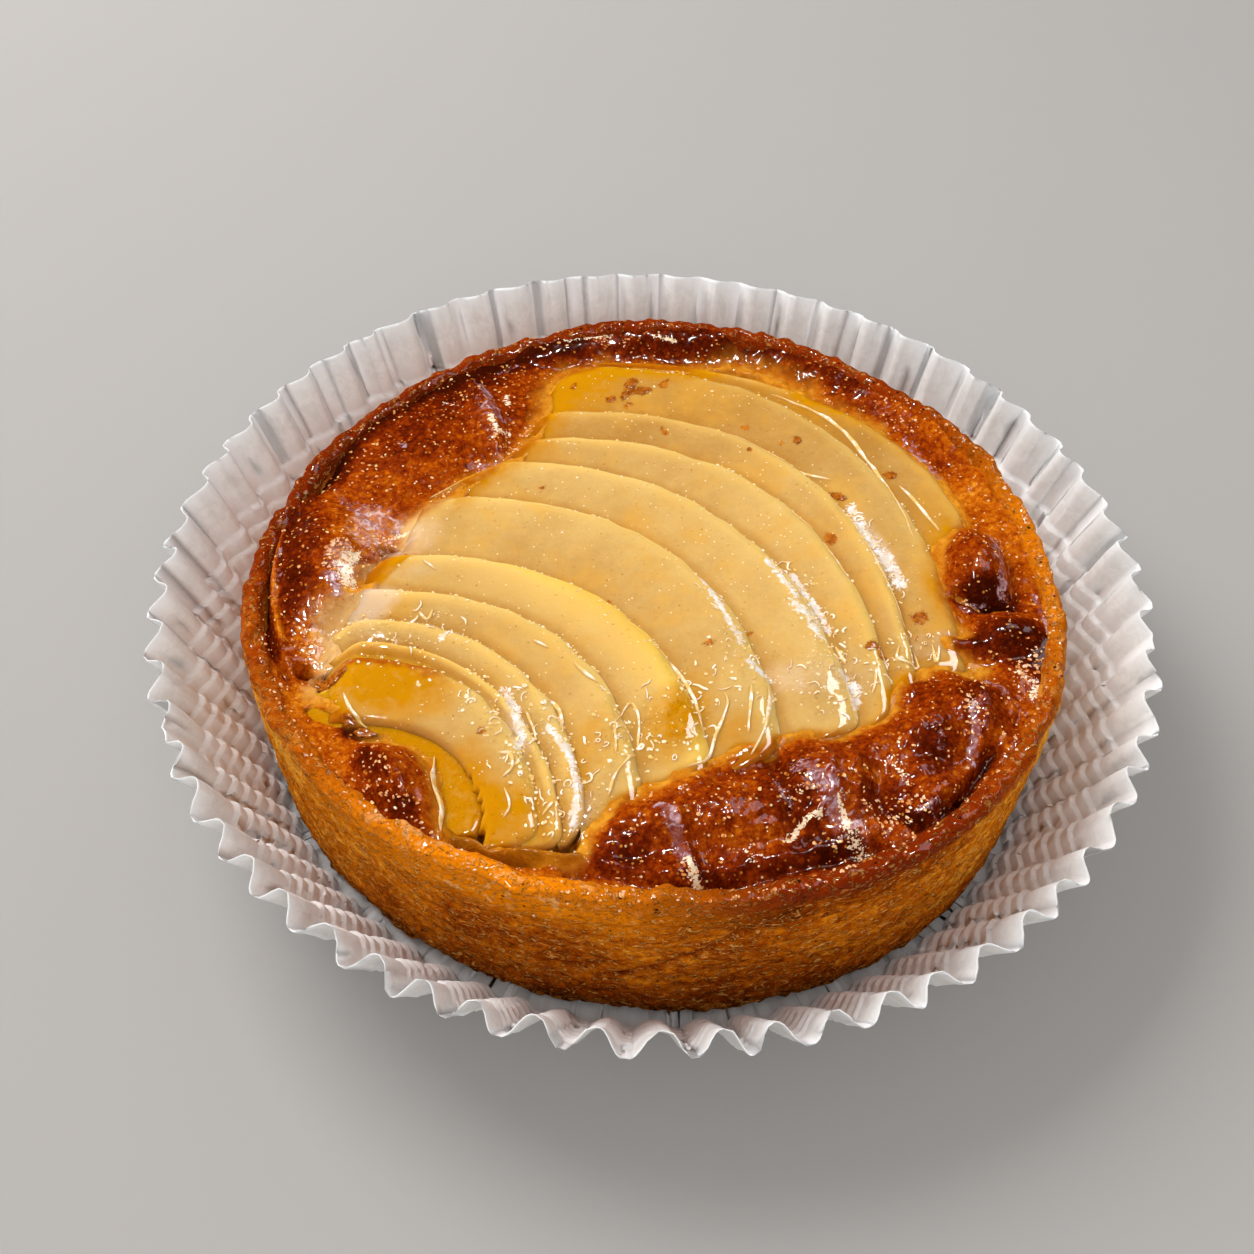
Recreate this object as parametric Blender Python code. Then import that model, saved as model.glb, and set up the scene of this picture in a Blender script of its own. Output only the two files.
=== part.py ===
"""A pear frangipane tart, ten centimetres across, in its fluted paper case.

All sizes below are in millimetres and become metres where a mesh is made. +Z is up, the case
stands on the XY plane with its middle at the origin, and the tart's front faces -Y.
"""

import math
from collections import namedtuple

import bmesh
import bpy
from mathutils import Vector, noise

MM = 0.001
GAP = 0.35                      # air left between pieces that touch
WELD = 0.002                    # points closer than this are one point

# Paper case
CASE_FLUTES = 63
CASE_FOOT_RADIUS = 50.6
CASE_RIM_RADIUS = 61.2          # half way between the outer and the inner folds
CASE_RIM_HEIGHT = 21.9
CASE_RIM_RISE_BACK = 0.065      # the rim climbs this much for each millimetre towards the back
CASE_RIM_RISE_RIGHT = -0.02
CASE_FLUTE_DEPTH = 2.7          # outer fold to inner fold, at the rim
CASE_FLUTE_START = math.radians(-98.5)
CASE_WALL_LEAN = math.radians(30)
CASE_PAPER = 0.4
CASE_WALL_ROWS = 4
FOLD_HALF_WIDTH = 0.07          # of a flute's pitch
SMALL_FLUTES = (16, 53)         # two folds that are pressed in
SMALL_FLUTE_DENT = 1.6

# Pastry shell
TART_FOOT = CASE_PAPER + GAP
RIM_RADIUS = 50.0
FOOT_RADIUS = 48.2
RIM_HEIGHT = 24.3
WALL = 2.8
FLOOR = 3.0
LOBES = 3                       # the rim is a slightly three-cornered circle
LOBE_SIZE = 0.8
LOBE_TURN = math.radians(80)
RIM_CRAG = 0.55
SHELL_COLUMNS = 120

# Baked almond filling
FILLING_LEVEL = 23.6
BED_LEVEL = 18.9                # under the pears
FAN_MIDDLE = Vector((2.0, 0.0))
FILLING_COLUMNS = 108
COLLAR_ROWS = 8
COLLAR_LEAST = 0.5              # the collar is nowhere narrower than this
FILLING_CRAG = 0.45
OUTLINE_STEPS = 160             # along each side of the pears' outline
DOME_POWER = 1.4                # nearer 1 is a fuller dome with a sharper foot

Puff = namedtuple("Puff", "x y long short turn height")
PUFFS = (
    Puff(39.6, 0.8, 8.5, 5.0, 90, 4.6),         # round knob on the right
    Puff(41.0, -10.5, 6.0, 3.5, 10, 1.6),       # burnt ridge below it
    Puff(33.0, -22.5, 12.0, 8.0, 35, 3.2),      # large blob, front right
    Puff(19.0, -33.0, 14.0, 8.5, 20, 3.4),
    Puff(3.0, -38.5, 12.0, 6.0, 5, 2.4),
    Puff(-29.0, -34.0, 9.0, 7.0, 40, 3.0),      # blob, front left
    Puff(-41.5, 1.0, 12.0, 8.0, 95, 3.2),       # puffed left side
    Puff(-30.0, 25.0, 16.0, 9.0, 45, 1.4),      # broad band, back left
    Puff(12.0, 36.0, 34.0, 11.0, -28, -1.3),    # dip to the pears at the back
    Puff(2.0, -46.0, 16.0, 2.6, 3, -2.0),       # trough inside the front rim
    Puff(-14.0, -44.0, 12.0, 5.0, -12, -5.2),   # open gap under the front pear
    Puff(-45.8, -9.0, 10.0, 1.6, 105, -2.4),    # crack along the left rim
)

# Pear fan. Each slice's skin edge leaves its left end level, turns a rounded corner and runs
# down the right side; squareness 2 is an ellipse, and more is squarer. The last edge is the
# front of the fan.
Edge = namedtuple("Edge", "left top right low squareness end")
EDGES = (
    Edge(-9.0, 43.6, 40.6, 2.0, 2.2, 5.0),
    Edge(-10.0, 42.4, 37.0, -18.0, 2.3, -12.0),
    Edge(-13.5, 30.8, 30.6, -26.0, 2.6, -16.0),
    Edge(-15.0, 24.6, 27.4, -27.0, 2.4, -19.0),
    Edge(-18.6, 19.4, 23.6, -33.0, 2.15, -22.0),
    Edge(-28.4, 12.6, 14.6, -36.0, 2.4, -25.0),
    Edge(-32.6, 1.4, 7.0, -42.0, 2.4, -29.0),
    Edge(-37.3, -4.4, -1.0, -44.0, 2.5, -34.0),
    Edge(-36.6, -9.3, -7.0, -45.0, 2.3, -38.0),
    Edge(-35.6, -13.0, -9.4, -46.0, 2.1, -40.5),
    Edge(-36.4, -14.8, -11.8, -46.0, 2.3, -41.0),
    Edge(-36.6, -24.6, -18.4, -44.0, 2.6, -41.2),
)
SLICE_THICKNESS = (2.2, 1.8, 1.8, 1.7, 1.8, 1.9, 1.9, 1.7, 1.5, 0.9, 1.9)
TUCK = 0.35                     # part of the next slice's width that runs on under it
BACK_LIFT = 0.9                 # the back slice's skin edge clears the bed
END_ROUNDING = 0.08             # part of a slice's length
END_TRIM = 0.6                  # part of a slice's width lost at its very end
EDGE_BEVEL = 0.12               # part of a slice's width
SLICE_STATIONS = 15
FAN_DOME = 0.9                  # the fan's middle stands this much higher than its sides
FRONT_LIFT = 2.5                # the last slice's front edge clears the bed

# The slice that shows below the last one, as the middle line of a bent strip
LOW_SLICE_PATH = ((-39.2, -19.8), (-36.6, -24.6), (-31.0, -26.8), (-25.6, -30.0),
                  (-22.6, -35.0), (-21.4, -39.4))
LOW_SLICE_WIDTH = 4.0
LOW_SLICE_THICKNESS = 1.7


def smooth_bump(x, y, puff):
    """A dome of height 1 over an ellipse, level at its top and at its foot."""
    turn = math.radians(puff.turn)
    along = (x - puff.x) * math.cos(turn) + (y - puff.y) * math.sin(turn)
    across = (y - puff.y) * math.cos(turn) - (x - puff.x) * math.sin(turn)
    reach = (along / puff.long) ** 2 + (across / puff.short) ** 2
    return max(0.0, 1.0 - reach) ** DOME_POWER


def ripple(x, y, z, size):
    """Even noise from -1 to 1 whose lumps are about one size across."""
    return noise.noise(Vector((x, y, z)) / size)


def make_material(name, colour, roughness, metallic=0.0):
    material = bpy.data.materials.new(name)
    material.use_nodes = True
    shader = material.node_tree.nodes["Principled BSDF"]
    shader.inputs["Base Color"].default_value = (*colour, 1.0)
    shader.inputs["Roughness"].default_value = roughness
    shader.inputs["Metallic"].default_value = metallic
    material.diffuse_color = (*colour, 1.0)
    return material


def make_object(name, mesh_builder, material):
    """Turn a bmesh in millimetres into a named, smooth-shaded object in metres."""
    bmesh.ops.remove_doubles(mesh_builder, verts=mesh_builder.verts, dist=WELD)
    bmesh.ops.dissolve_degenerate(mesh_builder, edges=mesh_builder.edges, dist=WELD)
    bmesh.ops.recalc_face_normals(mesh_builder, faces=mesh_builder.faces)
    if mesh_builder.calc_volume(signed=True) < 0:
        bmesh.ops.reverse_faces(mesh_builder, faces=mesh_builder.faces)
    bmesh.ops.scale(mesh_builder, vec=(MM, MM, MM), verts=mesh_builder.verts)
    mesh = bpy.data.meshes.new(name)
    mesh_builder.to_mesh(mesh)
    mesh_builder.free()
    mesh.shade_smooth()
    mesh.set_sharp_from_angle(angle=math.radians(40))
    mesh.materials.append(material)
    thing = bpy.data.objects.new(name, mesh)
    bpy.context.scene.collection.objects.link(thing)
    return thing


def bent_grid(columns, rows, place):
    """A flat grid of columns by rows cells, each corner moved to place(column, row)."""
    sheet = bmesh.new()
    bmesh.ops.create_grid(sheet, x_segments=columns, y_segments=rows, size=0.5)
    for corner in sheet.verts:
        column = round((corner.co.x + 0.5) * columns)
        row = round((corner.co.y + 0.5) * rows)
        corner.co = place(column, row)
    return sheet


# ---------------------------------------------------------------- paper case

def case_fold(column):
    """The direction of a column and its side of the fold: 1 outside, -1 inside."""
    flute, step = divmod(column % (4 * CASE_FLUTES), 4)
    fold_angle = 2 * math.pi / CASE_FLUTES
    offset = (-FOLD_HALF_WIDTH, FOLD_HALF_WIDTH, 0.5 - FOLD_HALF_WIDTH, 0.5 + FOLD_HALF_WIDTH)[step]
    sway = 0.07 * noise.noise(Vector((flute * 3.7, step // 2, 0.5)))
    angle = CASE_FLUTE_START + (flute + offset + sway) * fold_angle
    side = 1.0 if step < 2 else -1.0
    return angle, side, flute


def case_point(column, row):
    """A point of the paper sheet: row 0 is the middle of the foot, row 1 its edge."""
    angle, side, flute = case_fold(column)
    if row == 0:
        return Vector((0.0, 0.0, 0.0))
    climb = (row - 1) / CASE_WALL_ROWS
    radius = CASE_FOOT_RADIUS + (CASE_RIM_RADIUS - CASE_FOOT_RADIUS) * climb
    depth = 0.5 * CASE_FLUTE_DEPTH * climb ** 0.6
    depth *= 1.0 + 0.25 * noise.noise(Vector((flute * 2.3, side, 4.0)))
    if flute in SMALL_FLUTES and side > 0:
        depth -= SMALL_FLUTE_DENT * climb
    radius += side * depth * math.cos(CASE_WALL_LEAN)
    x = radius * math.cos(angle)
    y = radius * math.sin(angle)
    rim = CASE_RIM_HEIGHT + CASE_RIM_RISE_BACK * y + CASE_RIM_RISE_RIGHT * x
    z = rim * climb - side * depth * math.sin(CASE_WALL_LEAN) * climb
    return Vector((x, y, z))


def build_paper_case():
    paper = make_material("paper", (0.86, 0.83, 0.80), 0.75)
    sheet = bent_grid(4 * CASE_FLUTES, 1 + CASE_WALL_ROWS, case_point)
    case = make_object("paper_case", sheet, paper)
    thickness = case.modifiers.new("thickness", "SOLIDIFY")
    thickness.thickness = CASE_PAPER * MM
    thickness.offset = -1.0
    return case


# -------------------------------------------------------------- pastry shell

def lobed(radius, angle):
    """A radius on the slightly three-cornered outline of the tart."""
    return radius + LOBE_SIZE * math.cos(LOBES * (angle - LOBE_TURN))


def outer_radius(angle, height):
    climb = (height - TART_FOOT) / (RIM_HEIGHT - TART_FOOT)
    return lobed(FOOT_RADIUS + (RIM_RADIUS - FOOT_RADIUS) * climb, angle)


def inner_radius(angle, height):
    return outer_radius(angle, height) - WALL


def rim_crag(angle, seed):
    x = math.cos(angle) * RIM_RADIUS
    y = math.sin(angle) * RIM_RADIUS
    return RIM_CRAG * (ripple(x, y, seed, 3.0) + 0.8 * ripple(x, y, seed + 30, 9.0))


def shell_profile(angle):
    """Radius and height round the shell's wall, from under its foot to its inner floor."""
    crag = rim_crag(angle, 0.0)
    side = rim_crag(angle, 60.0)
    rim = RIM_HEIGHT + crag
    foot = TART_FOOT
    floor = foot + FLOOR
    return (
        (0.0, foot),
        (outer_radius(angle, foot) - 1.4, foot),
        (outer_radius(angle, foot + 1.2) + 0.3 * side, foot + 1.2),
        (outer_radius(angle, 8.0) + 0.3 * side, 8.0),
        (outer_radius(angle, 16.0) - 0.2 * side, 16.0),
        (outer_radius(angle, rim - 1.3) + 0.4 * side, rim - 1.3),
        (outer_radius(angle, rim) - 0.5 + 0.5 * side, rim - 0.2),
        (inner_radius(angle, rim) + 0.7, rim),
        (inner_radius(angle, rim - 1.3), rim - 1.3),
        (inner_radius(angle, floor), floor),
        (0.0, floor),
    )


def build_pastry_shell():
    crust = make_material("pastry", (0.55, 0.25, 0.06), 0.7)
    angles = [2 * math.pi * column / SHELL_COLUMNS for column in range(SHELL_COLUMNS)]
    profiles = [shell_profile(angle) for angle in angles]

    def place(column, row):
        column %= SHELL_COLUMNS
        radius, height = profiles[column][row]
        return Vector((radius * math.cos(angles[column]), radius * math.sin(angles[column]), height))

    shell = bent_grid(SHELL_COLUMNS, len(profiles[0]) - 1, place)
    return make_object("pastry_shell", shell, crust)


# --------------------------------------------------------------- pear slices

def edge_point(edge, share):
    """A point on a skin edge, from its left end at share 0 to its right end at share 1."""
    power = 2.0 / edge.squareness
    last = math.acos(((edge.end - edge.low) / (edge.top - edge.low)) ** (1.0 / power))
    turn = share * last
    across = edge.left + (edge.right - edge.left) * math.sin(turn) ** power
    up = edge.low + (edge.top - edge.low) * math.cos(turn) ** power
    return Vector((across, up))


def fan_point(position, share):
    """A point in the fan: position 0 is the back slice's edge, 1 the next one's, and so on."""
    index = min(int(position), len(EDGES) - 2)
    back = edge_point(EDGES[index], share)
    front = edge_point(EDGES[index + 1], share)
    return back.lerp(front, position - index)


def fan_floor(spot):
    """The height that the pears rest at, over the domed bed."""
    return BED_LEVEL + GAP + FAN_DOME * (1.0 - (spot - FAN_MIDDLE).length_squared / 42.0 ** 2)


def slice_lifts():
    """How far each slice's skin edge is raised so that it lies on the slice behind it."""
    lifts = [BACK_LIFT]
    for thickness in SLICE_THICKNESS[:-1]:
        over_edge = thickness + GAP + lifts[-1] * TUCK / (1.0 + TUCK)
        over_tuck = (thickness + GAP) * (1.0 + TUCK)
        lifts.append(max(over_edge, over_tuck))
    return lifts


def end_trim(share):
    """How much of a slice's width its rounded ends take away."""
    near = min(share, 1.0 - share) / END_ROUNDING
    if near >= 1.0:
        return 0.0
    return END_TRIM * (1.0 - math.sqrt(1.0 - (1.0 - near) ** 2))


def slice_section(index, share, lift):
    """The closed outline across one slice at one place along it."""
    thickness = SLICE_THICKNESS[index]
    is_last = index == len(SLICE_THICKNESS) - 1
    width = 1.0 if is_last else 1.0 + TUCK
    low_lift = FRONT_LIFT if is_last else 0.0
    start = end_trim(share)
    across = (
        (start, 0.0),
        (start, 0.5),
        (start + EDGE_BEVEL, 1.0),
        (0.5 + 0.5 * start, 1.0),
        (1.0, 1.0),
        (width, 1.0),
        (width, 0.0),
        (0.5 + 0.5 * start, 0.0),
    )
    section = []
    for along, level in across:
        spot = fan_point(index + along, share)
        rise = lift + (low_lift - lift) * along / width + thickness * level
        section.append(Vector((spot.x, spot.y, fan_floor(spot) + rise)))
    return section


def loft(sections):
    """A closed solid through a row of closed outlines, with flat ends."""
    around = len(sections[0])
    skin = bent_grid(len(sections) - 1, around, lambda column, row: sections[column][row % around])
    bmesh.ops.remove_doubles(skin, verts=skin.verts, dist=WELD)
    open_edges = [edge for edge in skin.edges if edge.is_boundary]
    bmesh.ops.holes_fill(skin, edges=open_edges, sides=0)
    return skin


def station_shares():
    """Places along a slice, closer together near its two ends."""
    even = [station / SLICE_STATIONS for station in range(SLICE_STATIONS + 1)]
    return [0.5 * share + 0.25 * (1.0 - math.cos(math.pi * share)) for share in even]


def build_pear_slices():
    flesh = make_material("pear", (0.80, 0.56, 0.20), 0.25)
    shares = station_shares()
    for index, lift in enumerate(slice_lifts()):
        sections = [slice_section(index, share, lift) for share in shares]
        make_object("pear_slice_%02d" % (index + 1), loft(sections), flesh)


def low_slice_line(share):
    """A point on the low slice's smooth middle line, and the direction across it there."""
    spots = [Vector(spot) for spot in LOW_SLICE_PATH]
    spots = [2 * spots[0] - spots[1]] + spots + [2 * spots[-1] - spots[-2]]
    place = share * (len(LOW_SLICE_PATH) - 1)
    first = min(int(place), len(LOW_SLICE_PATH) - 2)
    a, b, c, d = spots[first:first + 4]
    t = place - first
    line = 0.5 * (2 * b + (c - a) * t + (2 * a - 5 * b + 4 * c - d) * t ** 2
                  + (3 * b - 3 * c + d - a) * t ** 3)
    slope = 0.5 * (c - a + 2 * (2 * a - 5 * b + 4 * c - d) * t
                   + 3 * (3 * b - 3 * c + d - a) * t ** 2)
    return line, Vector((-slope.y, slope.x)).normalized()


def build_low_slice():
    flesh = make_material("pear_low", (0.70, 0.42, 0.08), 0.25)
    sections = []
    for station in range(SLICE_STATIONS + 1):
        share = station / SLICE_STATIONS
        line, across = low_slice_line(share)
        half = 0.5 * LOW_SLICE_WIDTH * (1.0 - 0.6 * abs(2 * share - 1) ** 6)
        section = []
        for side, level in ((-1, 0), (-1, 0.6), (-0.7, 1), (0.7, 1), (1, 0.6), (1, 0)):
            spot = line + across * side * half
            section.append(Vector((spot.x, spot.y, fan_floor(spot) + LOW_SLICE_THICKNESS * level)))
        sections.append(section)
    make_object("pear_slice_%02d" % (len(SLICE_THICKNESS) + 1), loft(sections), flesh)


# ------------------------------------------------------------------- filling

def fan_outline():
    """Spots all round the pears' outline."""
    steps = [step / OUTLINE_STEPS for step in range(OUTLINE_STEPS + 1)]
    back = [fan_point(0.0, step) for step in steps]
    front = [fan_point(len(EDGES) - 1, step) for step in steps]
    ends = [fan_point((len(EDGES) - 1) * step, end) for step in steps for end in (0.0, 1.0)]
    low_slice = []
    for step in steps:
        line, across = low_slice_line(step)
        low_slice.append(line + across * 0.5 * LOW_SLICE_WIDTH)
        low_slice.append(line - across * 0.5 * LOW_SLICE_WIDTH)
    return back + front + ends + low_slice


def fan_reach(angle, outline):
    """How far the pears reach from the fan's middle, a little either side of a direction."""
    near = 2.2 * math.pi / FILLING_COLUMNS
    reach = 0.0
    for spot in outline:
        away = spot - FAN_MIDDLE
        turn = math.atan2(away.y, away.x) - angle
        if abs(math.remainder(turn, 2 * math.pi)) < near:
            reach = max(reach, away.length)
    return reach + GAP


def wall_reach(angle, height):
    """How far the shell's inner wall lies from the fan's middle in one direction."""
    direction = Vector((math.cos(angle), math.sin(angle)))
    reach = RIM_RADIUS
    for _ in range(20):
        spot = FAN_MIDDLE + direction * reach
        around = math.atan2(spot.y, spot.x)
        reach += inner_radius(around, height) - GAP - spot.length
    return reach


def filling_height(spot):
    height = FILLING_LEVEL + sum(puff.height * smooth_bump(spot.x, spot.y, puff) for puff in PUFFS)
    fine = ripple(spot.x, spot.y, 5.0, 3.5) + ripple(spot.x, spot.y, 50.0, 8.0)
    return height + FILLING_CRAG * fine


def filling_column(angle, outline):
    """Points from the filling's underside, over its collar and down to the bed of the pears."""
    floor = TART_FOOT + FLOOR + GAP
    direction = Vector((math.cos(angle), math.sin(angle)))

    def at(reach, height=None):
        spot = FAN_MIDDLE + direction * reach
        level = filling_height(spot) if height is None else height
        return Vector((spot.x, spot.y, level))

    inside = fan_reach(angle, outline)
    outside = wall_reach(angle, RIM_HEIGHT - 2.0)
    inside = min(inside, outside - COLLAR_LEAST)
    points = [at(0.0, floor), at(wall_reach(angle, floor), floor)]
    for row in range(COLLAR_ROWS + 1):
        points.append(at(outside + (inside - outside) * row / COLLAR_ROWS))
    points.append(at(inside - 0.05, BED_LEVEL))
    bed = fan_floor(FAN_MIDDLE + direction * inside * 0.5) - GAP
    points.append(at(inside * 0.5, bed))
    points.append(at(0.0, fan_floor(FAN_MIDDLE) - GAP))
    return points


def build_filling():
    almond = make_material("frangipane", (0.42, 0.13, 0.02), 0.35)
    outline = fan_outline()
    turns = [2 * math.pi * column / FILLING_COLUMNS for column in range(FILLING_COLUMNS)]
    columns = [filling_column(turn, outline) for turn in turns]
    filling = bent_grid(FILLING_COLUMNS, len(columns[0]) - 1,
                        lambda column, row: columns[column % FILLING_COLUMNS][row])
    return make_object("frangipane", filling, almond)


def clear_scene():
    for thing in list(bpy.data.objects):
        bpy.data.objects.remove(thing, do_unlink=True)


clear_scene()
build_paper_case()
build_pastry_shell()
build_filling()
build_pear_slices()
build_low_slice()
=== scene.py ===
"""A pear frangipane tart in its pleated paper case.

Shapes are laid out in millimetres, in the frame of the solids: +Z is up and the front is -Y.
"""

import math
from collections import namedtuple

import bpy
import numpy as np
from mathutils import Matrix, Vector, noise
from mathutils.bvhtree import BVHTree


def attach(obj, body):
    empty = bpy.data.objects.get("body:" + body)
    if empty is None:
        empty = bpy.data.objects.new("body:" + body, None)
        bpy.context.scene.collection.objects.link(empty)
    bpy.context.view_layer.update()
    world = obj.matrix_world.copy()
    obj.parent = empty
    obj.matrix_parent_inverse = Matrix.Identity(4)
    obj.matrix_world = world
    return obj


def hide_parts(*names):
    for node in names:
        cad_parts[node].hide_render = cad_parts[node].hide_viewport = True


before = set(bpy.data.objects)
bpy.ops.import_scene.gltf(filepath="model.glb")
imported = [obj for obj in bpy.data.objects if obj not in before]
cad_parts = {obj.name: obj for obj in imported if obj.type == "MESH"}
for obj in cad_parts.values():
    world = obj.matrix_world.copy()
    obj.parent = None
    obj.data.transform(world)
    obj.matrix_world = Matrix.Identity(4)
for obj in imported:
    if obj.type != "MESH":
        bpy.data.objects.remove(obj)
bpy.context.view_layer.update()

MM = 0.001

# ------------------------------------------------------------------ the tart's plan

FAN_MIDDLE = (2.0, 0.0)
BED_LEVEL = 19.25               # what the pears lie on
FAN_DOME = 0.9

# Each slice's skin edge: level at its left end, round a corner and down the right side
Edge = namedtuple("Edge", "left top right low squareness end")
EDGES = (
    Edge(-9, 43.6, 40.6, 2, 2.2, 5), Edge(-10, 42.4, 37, -18, 2.3, -12),
    Edge(-13.5, 30.8, 30.6, -26, 2.6, -16), Edge(-15, 24.6, 27.4, -27, 2.4, -19),
    Edge(-18.6, 19.4, 23.6, -33, 2.15, -22), Edge(-28.4, 12.6, 14.6, -36, 2.4, -25),
    Edge(-32.6, 1.4, 7, -42, 2.4, -29), Edge(-37.3, -4.4, -1, -44, 2.5, -34),
    Edge(-36.6, -9.3, -7, -45, 2.3, -38), Edge(-35.6, -13, -9.4, -46, 2.1, -40.5),
    Edge(-36.4, -14.8, -11.8, -46, 2.3, -41), Edge(-36.6, -24.6, -18.4, -44, 2.6, -41.2),
)
CREST = (3.4, 3.9, 4.5, 4.7, 4.7, 4.7, 4.9, 4.8, 4.6, 4.5, 4.8, 4.0)   # skin edge above the bed
STEP = (0.0, 0.45, 0.8, 0.9, 1.0, 1.0, 1.3, 0.8, 0.6, 0.5, 0.8, 0.0)   # and above the slice behind
SLICE_BODY = 1.7                # thickness
TUCK = 0.35                     # part of the next slice's width that runs on under it
END_RUN = 46.0                  # millimetres that one whole share adds past a slice's end

LOW_SLICE_PATH = (
    (-39.2, -19.8), (-36.6, -24.6), (-31, -26.8), (-25.6, -30), (-22.6, -35), (-21.4, -39.4),
)

# Where the pears meet the baked filling, in order round the fan
SHORE = (
    (-9, 40.6), (-5.5, 41.6), (0, 41.5), (5, 41.7), (9, 43), (13.5, 42.6), (17.5, 40.2),
    (20.6, 37.8), (21.6, 35.2), (24.6, 33.4), (28, 31.2), (30.6, 29.6), (32, 26.2), (34.4, 24),
    (36.6, 20.2), (38.6, 16.6), (39.8, 11.8), (38.2, 8), (35.8, 5), (35, 1), (34.6, -3),
    (35.2, -6.8), (36.4, -9.8), (34.2, -11.2), (35.4, -13), (39, -14.6), (36.4, -15.8),
    (33.2, -15.6), (30.2, -17), (28, -19.4), (26.4, -22.4), (23, -25.4), (18.6, -26.2),
    (14, -26.4), (12, -28.6), (8.4, -28.8), (5.4, -31.2), (1.4, -33.2), (-2.4, -34.8),
    (-5.4, -37.4), (-7.2, -40.4), (-8.4, -43.2), (-13, -42.6), (-18, -41.6), (-22.4, -40.6),
    (-23.4, -36), (-24.6, -31.4), (-26.6, -28.6), (-29.6, -27.4), (-32.6, -26.2), (-34.6, -24.6),
    (-37.2, -22), (-40.2, -19.8), (-39.6, -16.4), (-38.6, -13.4), (-39.4, -10.6), (-38, -8.4),
    (-35.4, -6.4), (-34.8, -3), (-33, 0.4), (-31.4, 3.8), (-31.4, 7), (-29, 9.8), (-26.4, 12),
    (-23.4, 15.6), (-20.4, 18.4), (-17.6, 21.8), (-15.8, 26), (-15, 31), (-14.4, 36.4),
    (-12.6, 39.4),
)

RIM_RADIUS = 50.0
FOOT_RADIUS = 48.2
RIM_HEIGHT = 24.3
CRUST_WALL = 2.8
CRUST_FLOOR = 3.75
FILLING_LEVEL = 23.5
RIM_LIFT = ((92, 46, 1.5), (30, 45, 0.8), (140, 34, 0.6))       # directions where the rim stands higher
FILLING_LIFT = ((92, 46, 1.2), (30, 45, 0.6), (140, 34, 0.4))   # and the filling beside it

Patch = namedtuple("Patch", "x y long short turn amount")
Line = namedtuple("Line", "path width amount")


def patches(*rows):
    return [Patch(*row) for row in rows]


def lines(*rows):
    return [Line(*row) for row in rows]



# Hills and hollows of the filling, in millimetres of height
SWELLS = patches(
    (39.6, 1.4, 7.8, 4.8, 82, 4.2),             # round knob on the right
    (41.5, -9.5, 6, 4, 15, 1.9),                # burnt ridge below it
    (36.6, -12, 4, 1.8, -8, 1),
    (33.8, -22, 9, 6.5, 35, 2.6),               # large blob, front right
    (26.5, -27.6, 8.5, 5.5, 20, 1.8), (18, -33, 7.5, 7, 10, 2.7), (7, -36, 11, 5.5, 8, 2.3),
    (-1.5, -39, 6, 3.2, 12, 1.4), (29, -34, 6.5, 4.2, 35, 1.5),
    (-27.9, -33.4, 8.6, 5.4, -52, 3.2),         # blob, front left
    (-41.5, -0.5, 13.5, 7.4, 95, 3.4),          # puffed left side
    (-30, 25, 16, 9, 45, 1.5),                  # broad band, back left
    (-24, 30, 9.5, 2.8, 108, 1.1), (-12, 45, 12, 3, 12, 0.8), (3, 48, 14, 3, -2, 1.2),
    (22, 42, 12, 3.2, -30, 0.8), (36, 30, 10, 3, -58, 0.7),
    (12, 36, 34, 11, -28, -1.2),                # dip to the pears at the back
    (-43.8, 16.5, 5, 2, 66, -1.4),              # dark pocket behind the left puff
    (-33.2, 2.6, 2.4, 1.2, -35, -2.2),          # hollows between the puff and the pears
    (-35.6, -3.2, 3.8, 1.5, 62, -1),
    (-41.4, -16.4, 1.2, 1, 20, -3.4),           # bubble holes
    (-37.8, -23.4, 3, 0.8, -27, -2.6), (31.4, -34.6, 1.4, 0.8, 50, -3),
    (33.2, -33.7, 1.3, 0.6, 10, -2.6), (-31, -37.6, 2.6, 1.2, -40, -0.9),
)
# Smooth hollows where the filling has come away from the pears
HOLLOWS = patches(
    (-14.2, -42.6, 6.8, 1.2, 2, 2.6),           # the gap under the front pear
    (-20.2, -41, 3.4, 1.1, -36, 2.4), (-33.2, 2.6, 2.4, 1.2, -35, 0.8),
    (-38, -23.6, 2.8, 0.9, -30, 1.6),
)
# Nearly black bits where the filling meets the pears
BURNT = patches(
    (-38.4, -17.4, 2.4, 1.6, 0, 1), (-33.2, -25.8, 3.2, 1.4, -12, 1),
    (-31, -24.8, 1.8, 0.8, -10, 0.8),
)
GROOVES = lines(
    (((-46.6, 9), (-47.7, 4), (-48, -3), (-46.9, -9), (-44.9, -14.6), (-43.2, -17.6)), 0.9, -1.5),
    (((-9, -44), (0, -45.8), (9, -45.2), (17, -42.4), (23, -40.2)), 1.8, -1.5),
    (((28, -38.4), (32.4, -34.8), (35.6, -30.4), (37.6, -27.4)), 1.2, -1.6),
    (((12.6, -28.6), (13.6, -34), (15.4, -40)), 1.6, -0.9),
    (((24, -31), (24.6, -36), (28, -38)), 1.3, -0.8),
    (((37, -3.6), (40, -5.6), (43.4, -5.4)), 1.3, -1.6),
    (((43.6, 6), (44, 0), (43.8, -4)), 0.9, -0.9),
)
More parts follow.
